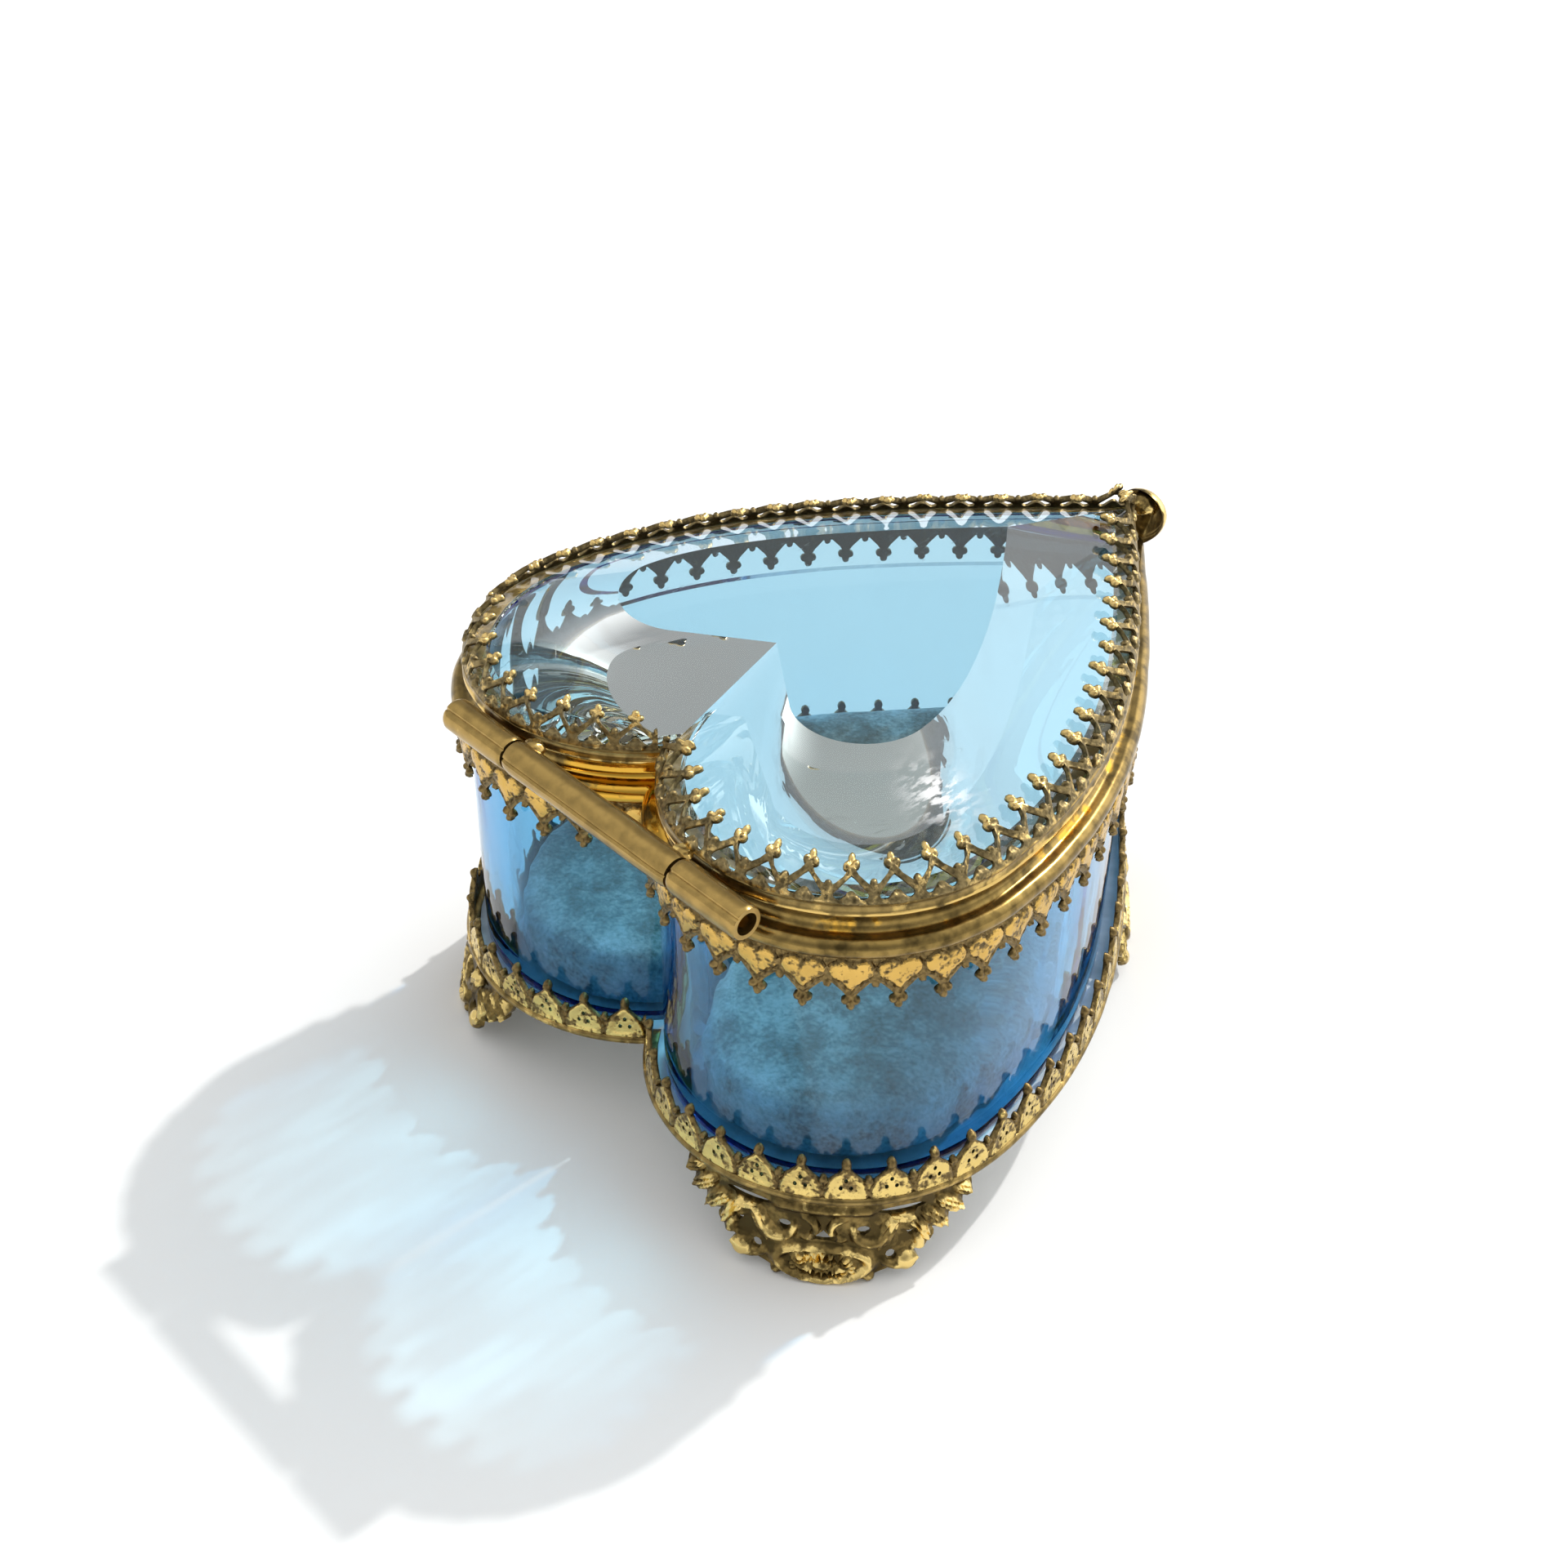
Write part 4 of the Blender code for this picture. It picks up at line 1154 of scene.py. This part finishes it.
def aged_brass(name, gold, patina, bias, patch_scale, pitting, rough, dirt_and_painted_shade=0.3):
    """Gilding worn to brown: the gilding attribute, which also carries painted highlights and shade, and
    patchy noise choose between gold and patina.
    """
    material, tree, shader = new_material(name)
    gilt_and_painted_light = attribute(tree, "gilt_and_painted_light")
    patches = noise_at(tree, patch_scale, 4.0)
    fine = noise_at(tree, patch_scale * 3.0, 3.0)
    mixed = weighted_sum(tree, patches, 1.6, fine, 0.9)
    total = math_node(tree, "ADD", math_node(tree, "ADD", gilt_and_painted_light, mixed), bias)
    share = ramp(tree, total, [(0.42, 0.0), (0.62, 1.0)])
    tone = noise_at(tree, patch_scale * 0.35, 2.0)
    gold_colour = ramp(tree, tone, [(0.3, [c * 0.82 for c in gold]), (0.7, gold)])
    # Below zero the attribute darkens the patina further: painted shade in the feet's recesses, and darker
    # hidden backs of the strips. The noise adds random dark specks.
    hollow = math_node(tree, "ADD", fine, math_node(tree, "MINIMUM", gilt_and_painted_light, 0.0))
    brown = ramp(tree, hollow, [(0.3, [c * dirt_and_painted_shade for c in patina]), (0.6, patina)])
    grain = noise_at(tree, patch_scale * 3.0, 4.0)
    pits = math_node(tree, "ADD", grain, math_node(tree, "MULTIPLY", share, 0.25))
    feed(tree, shader, Base_Color=mix_colour(tree, share, brown, gold_colour),
         Roughness=ramp(tree, share, [(0.0, rough[1]), (1.0, rough[0])]),
         Metallic=ramp(tree, share, [(0.0, 0.92), (1.0, 1.0)]),
         Normal=bump(tree, pits, pitting, 0.00012))
    return material


def brass_materials():
    brown = (0.27, 0.185, 0.07)
    looks = {
        "base_gallery": ((0.88, 0.65, 0.22), brown, -1.55, 900, 0.6, (0.22, 0.4)),
        "body_top_gallery": ((0.73, 0.46, 0.12), brown, -1.62, 900, 0.6, (0.22, 0.4)),
        "lid_gallery": ((0.8, 0.57, 0.22), (0.3, 0.225, 0.1), -1.22, 800, 0.6, (0.25, 0.42)),
        "band": ((0.8, 0.55, 0.18), (0.34, 0.235, 0.08), -1.35, 300, 0.25, (0.18, 0.3)),
        "bead": ((0.78, 0.44, 0.06), (0.32, 0.215, 0.065), -1.35, 260, 0.15, (0.1, 0.24)),
        "foot": ((0.92, 0.68, 0.25), (0.27, 0.185, 0.06), -1.15, 500, 0.25, (0.2, 0.34)),
        "tube": ((0.9, 0.64, 0.22), (0.44, 0.29, 0.09), -1.78, 320, 0.05, (0.16, 0.22), 0.72),
    }
    return {key: aged_brass(key + "_brass", *look) for key, look in looks.items()}


def plate_painted_light_material():
    """Tarnished floor of the case, mostly hidden under the pad, painted pale to stand in for light in the gap
    beside the pad.
    """
    material, tree, shader = new_material("plate_brass")
    stains = noise_at(tree, 350, 4.0)
    feed(tree, shader, Metallic=0.15, Roughness=ramp(tree, stains, [(0.35, 0.6), (0.65, 0.45)]),
         Base_Color=ramp(tree, stains, [(0.35, (0.6, 0.62, 0.6)), (0.65, (0.85, 0.87, 0.85))]))
    return material


def worn_glass(tree, smeared):
    """Roughness of smears and hair scratches, and how much light passes where the glass is scuffed."""
    strokes = ramp(tree, noise_at(tree, 2200, 3.0, (1.0, 0.3, 0.6)), [(0.46, 0.0), (0.58, 1.0)])
    clear = math_node(tree, "SUBTRACT", 1.0, math_node(tree, "MULTIPLY", attribute(tree, "scuff"), strokes))
    lines = noise_at(tree, 900, 2.0, (1.0, 0.2, 0.5))
    hair = ramp(tree, lines, [(0.494, 0.0), (0.5, 0.2), (0.506, 0.0)])
    scratched = ramp(tree, noise_at(tree, 150, 2.0), [(0.52, 0.0), (0.6, 0.2)])
    streaks = noise_at(tree, 1400, 2.0, (1.0, 1.0, 0.12))
    smear = ramp(tree, streaks, [(0.55, 0.0), (0.75, smeared)])
    return math_node(tree, "MAXIMUM", smear, math_node(tree, "MINIMUM", hair, scratched)), clear


def glass_material(name, ior, absorb, ripple, smeared, shade):
    """Glass with absorption (colour, density); shade(tree) is the colour of the light it lets through."""
    material, tree, shader = new_material(name)
    rough, clear = worn_glass(tree, smeared)
    waves = noise_at(tree, 120, 2.0, (1.0, 1.0, 0.4))
    feed(tree, shader, Base_Color=(1.0, 1.0, 1.0, 1.0), IOR=ior, Transmission_Weight=clear, Roughness=rough,
         Normal=bump(tree, waves, ripple, 0.0002))
    passed = add_node(tree, "ShaderNodeBsdfTransparent", Color=shade(tree))
    ray = tree.nodes.new("ShaderNodeLightPath")
    mix = add_node(tree, "ShaderNodeMixShader", N0=ray.outputs["Is Shadow Ray"], N1=shader.outputs["BSDF"],
                   N2=passed.outputs["BSDF"])
    colour, density = absorb
    volume = add_node(tree, "ShaderNodeVolumeAbsorption", Color=(*colour, 1.0), Density=density)
    feed(tree, tree.nodes["Material Output"], Surface=mix.outputs["Shader"], Volume=volume.outputs["Volume"])
    return material


def wall_shade(tree):
    """Curved walls gather the light they pass into streaks."""
    bent = noise_at(tree, 110, 3.0, (1.0, 0.6, 0.6))
    fine = noise_at(tree, 700, 3.0, (1.0, 0.5, 0.15))
    total = weighted_sum(tree, bent, 0.6, fine, 0.5)
    colour = ramp(tree, total, [(0.5, (0.64, 0.63, 0.62)), (0.6, (1.0, 0.99, 0.97))])
    gathered = add_node(tree, "ShaderNodeVectorMath", ("operation", "SCALE"), N0=colour, Scale=1.32)
    return gathered.outputs["Vector"]


def lid_shade(tree):
    """The flat passes light on, and the bevel bends it away."""
    return ramp(tree, attribute(tree, "flat"), [(0.0, (0.6, 0.61, 0.6)), (1.0, (0.97, 0.98, 0.98))])


def glass_materials():
    return {
        "blue": glass_material("blue_glass", 1.5, ((0.1, 0.66, 0.875), 400.0), 0.12, 0.03, wall_shade),
        "clear": glass_material("clear_glass", 1.57, ((0.8, 0.93, 0.9), 16.0), 0.0, 0.0, lid_shade),
    }


def velvet_material():
    """Teal velvet, darker on the pad's top, with painted light making it paler on the pad's side and near its
    rim.
    """
    material, tree, shader = new_material("worn_velvet")
    blotches = noise_at(tree, 300, 5.0, roughness=0.62)
    pile = noise_at(tree, 2600, 3.0)
    mixed = weighted_sum(tree, blotches, 0.75, pile, 0.4)
    worn = ramp(tree, mixed, [(0.42, (0.025, 0.08, 0.085)), (0.57, (0.085, 0.2, 0.215)),
                              (0.72, (0.24, 0.42, 0.46))])
    # Painted light: the paler colours on the pad's side and near its rim.
    painted_lit_side = ramp(tree, mixed, [(0.42, (0.12, 0.2, 0.21)), (0.57, (0.38, 0.54, 0.57)),
                                (0.72, (0.62, 0.76, 0.78))])
    feed(tree, shader, Base_Color=mix_colour(tree, attribute(tree, "edge"), worn, painted_lit_side), Roughness=0.95,
         Sheen_Weight=0.35, Sheen_Roughness=0.5, Normal=bump(tree, mixed, 0.8, 0.0003))
    return material


def floor_material():
    material, tree, shader = new_material("pale_floor")
    colour = ramp(tree, noise_at(tree, 3.0, 2.0), [(0.3, (0.9, 0.9, 0.895)), (0.7, (0.92, 0.92, 0.912))])
    feed(tree, shader, Base_Color=colour, Roughness=0.85, Specular_IOR_Level=0.1)
    return material


def refinish(name, material):
    """Give a carried-over CAD node a better material."""
    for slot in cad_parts[name].material_slots:
        slot.material = material


# ---- Stage ----

def build_floor():
    bm = bmesh.new()
    bmesh.ops.create_grid(bm, x_segments=8, y_segments=8, size=4.0)
    mesh = mesh_of(bm, "floor")
    mesh.materials.append(floor_material())
    new_object("floor", mesh)


def build_sun():
    """Sun from the tip's side, half way up."""
    sun = bpy.data.lights.new("window_sun", "SUN")
    sun.energy = 1.7
    sun.angle = math.radians(1.6)
    sun.color = (1.0, 0.985, 0.96)
    sun.cycles.use_multiple_importance_sampling = False
    lamp = new_object("window_sun", sun)
    across = math.cos(SUN_HEIGHT)
    towards = Vector((math.cos(SUN_AZIMUTH) * across, math.sin(SUN_AZIMUTH) * across, math.sin(SUN_HEIGHT)))
    lamp.rotation_mode = "QUATERNION"
    lamp.rotation_quaternion = (-towards).to_track_quat("-Z", "Y")


def build_room():
    """Pale light from everywhere, brighter and darker by patches."""
    world = bpy.data.worlds.new("room")
    bpy.context.scene.world = world
    world.use_nodes = True
    tree = world.node_tree
    direction = tree.nodes.new("ShaderNodeTexCoord").outputs["Generated"]
    level = ROOM_LIGHT
    for towards, inner, outer, amount in ROOM_PATCHES:
        near = add_node(tree, "ShaderNodeVectorMath", ("operation", "DOT_PRODUCT"), N0=direction,
                        N1=tuple(Vector(towards).normalized())).outputs["Value"]
        patch = add_node(tree, "ShaderNodeMapRange", ("interpolation_type", "SMOOTHSTEP"), Value=near,
                         From_Min=math.cos(math.radians(outer)), From_Max=math.cos(math.radians(inner)),
                         To_Max=amount)
        level = math_node(tree, "ADD", patch.outputs["Result"], level)
    feed(tree, tree.nodes["Background"], Strength=level, Color=(0.985, 0.995, 1.0, 1.0))
    scene = bpy.context.scene
    scene.view_settings.view_transform = "Standard"
    scene.cycles.max_bounces = LIGHT_BOUNCES
    scene.cycles.transmission_bounces = LIGHT_BOUNCES
    scene.cycles.glossy_bounces = LIGHT_BOUNCES


def build_camera():
    """Looks down on the back left lobe from behind the hinge."""
    azimuth = math.radians(226.78)
    elevation = math.radians(37.14)
    roll = math.radians(0.77)
    distance = 241.2
    target = Vector((27.30, -30.08 + LOBE_Y, 0.0))
    across = math.cos(elevation)
    back = Vector((math.sin(azimuth) * across, -math.cos(azimuth) * across, math.sin(elevation)))
    data = bpy.data.cameras.new("camera")
    data.lens = 52.14
    data.sensor_width = 36.0
    data.clip_start = 0.001
    data.clip_end = 20.0
    camera = new_object("camera", data)
    camera.location = (target + back * distance) * MM
    camera.rotation_mode = "QUATERNION"
    camera.rotation_quaternion = (-back).to_track_quat("-Z", "Y") @ Quaternion((0.0, 0.0, 1.0), roll)
    bpy.context.scene.camera = camera


def main():
    build_floor()
    build_sun()
    build_room()
    build_camera()
    brass = brass_materials()
    glass = glass_materials()
    build_base_rim(brass)
    build_body_top(brass)
    build_lid_rim(brass)
    build_galleries(brass)
    build_feet(brass)
    build_hinge(brass)
    build_lift_tab(brass)
    build_glass_walls(glass)
    build_lid_glass(glass)
    build_pad(velvet_material())
    refinish("base_plate", plate_painted_light_material())
    refinish("hinge_pin", brass["band"])


main()
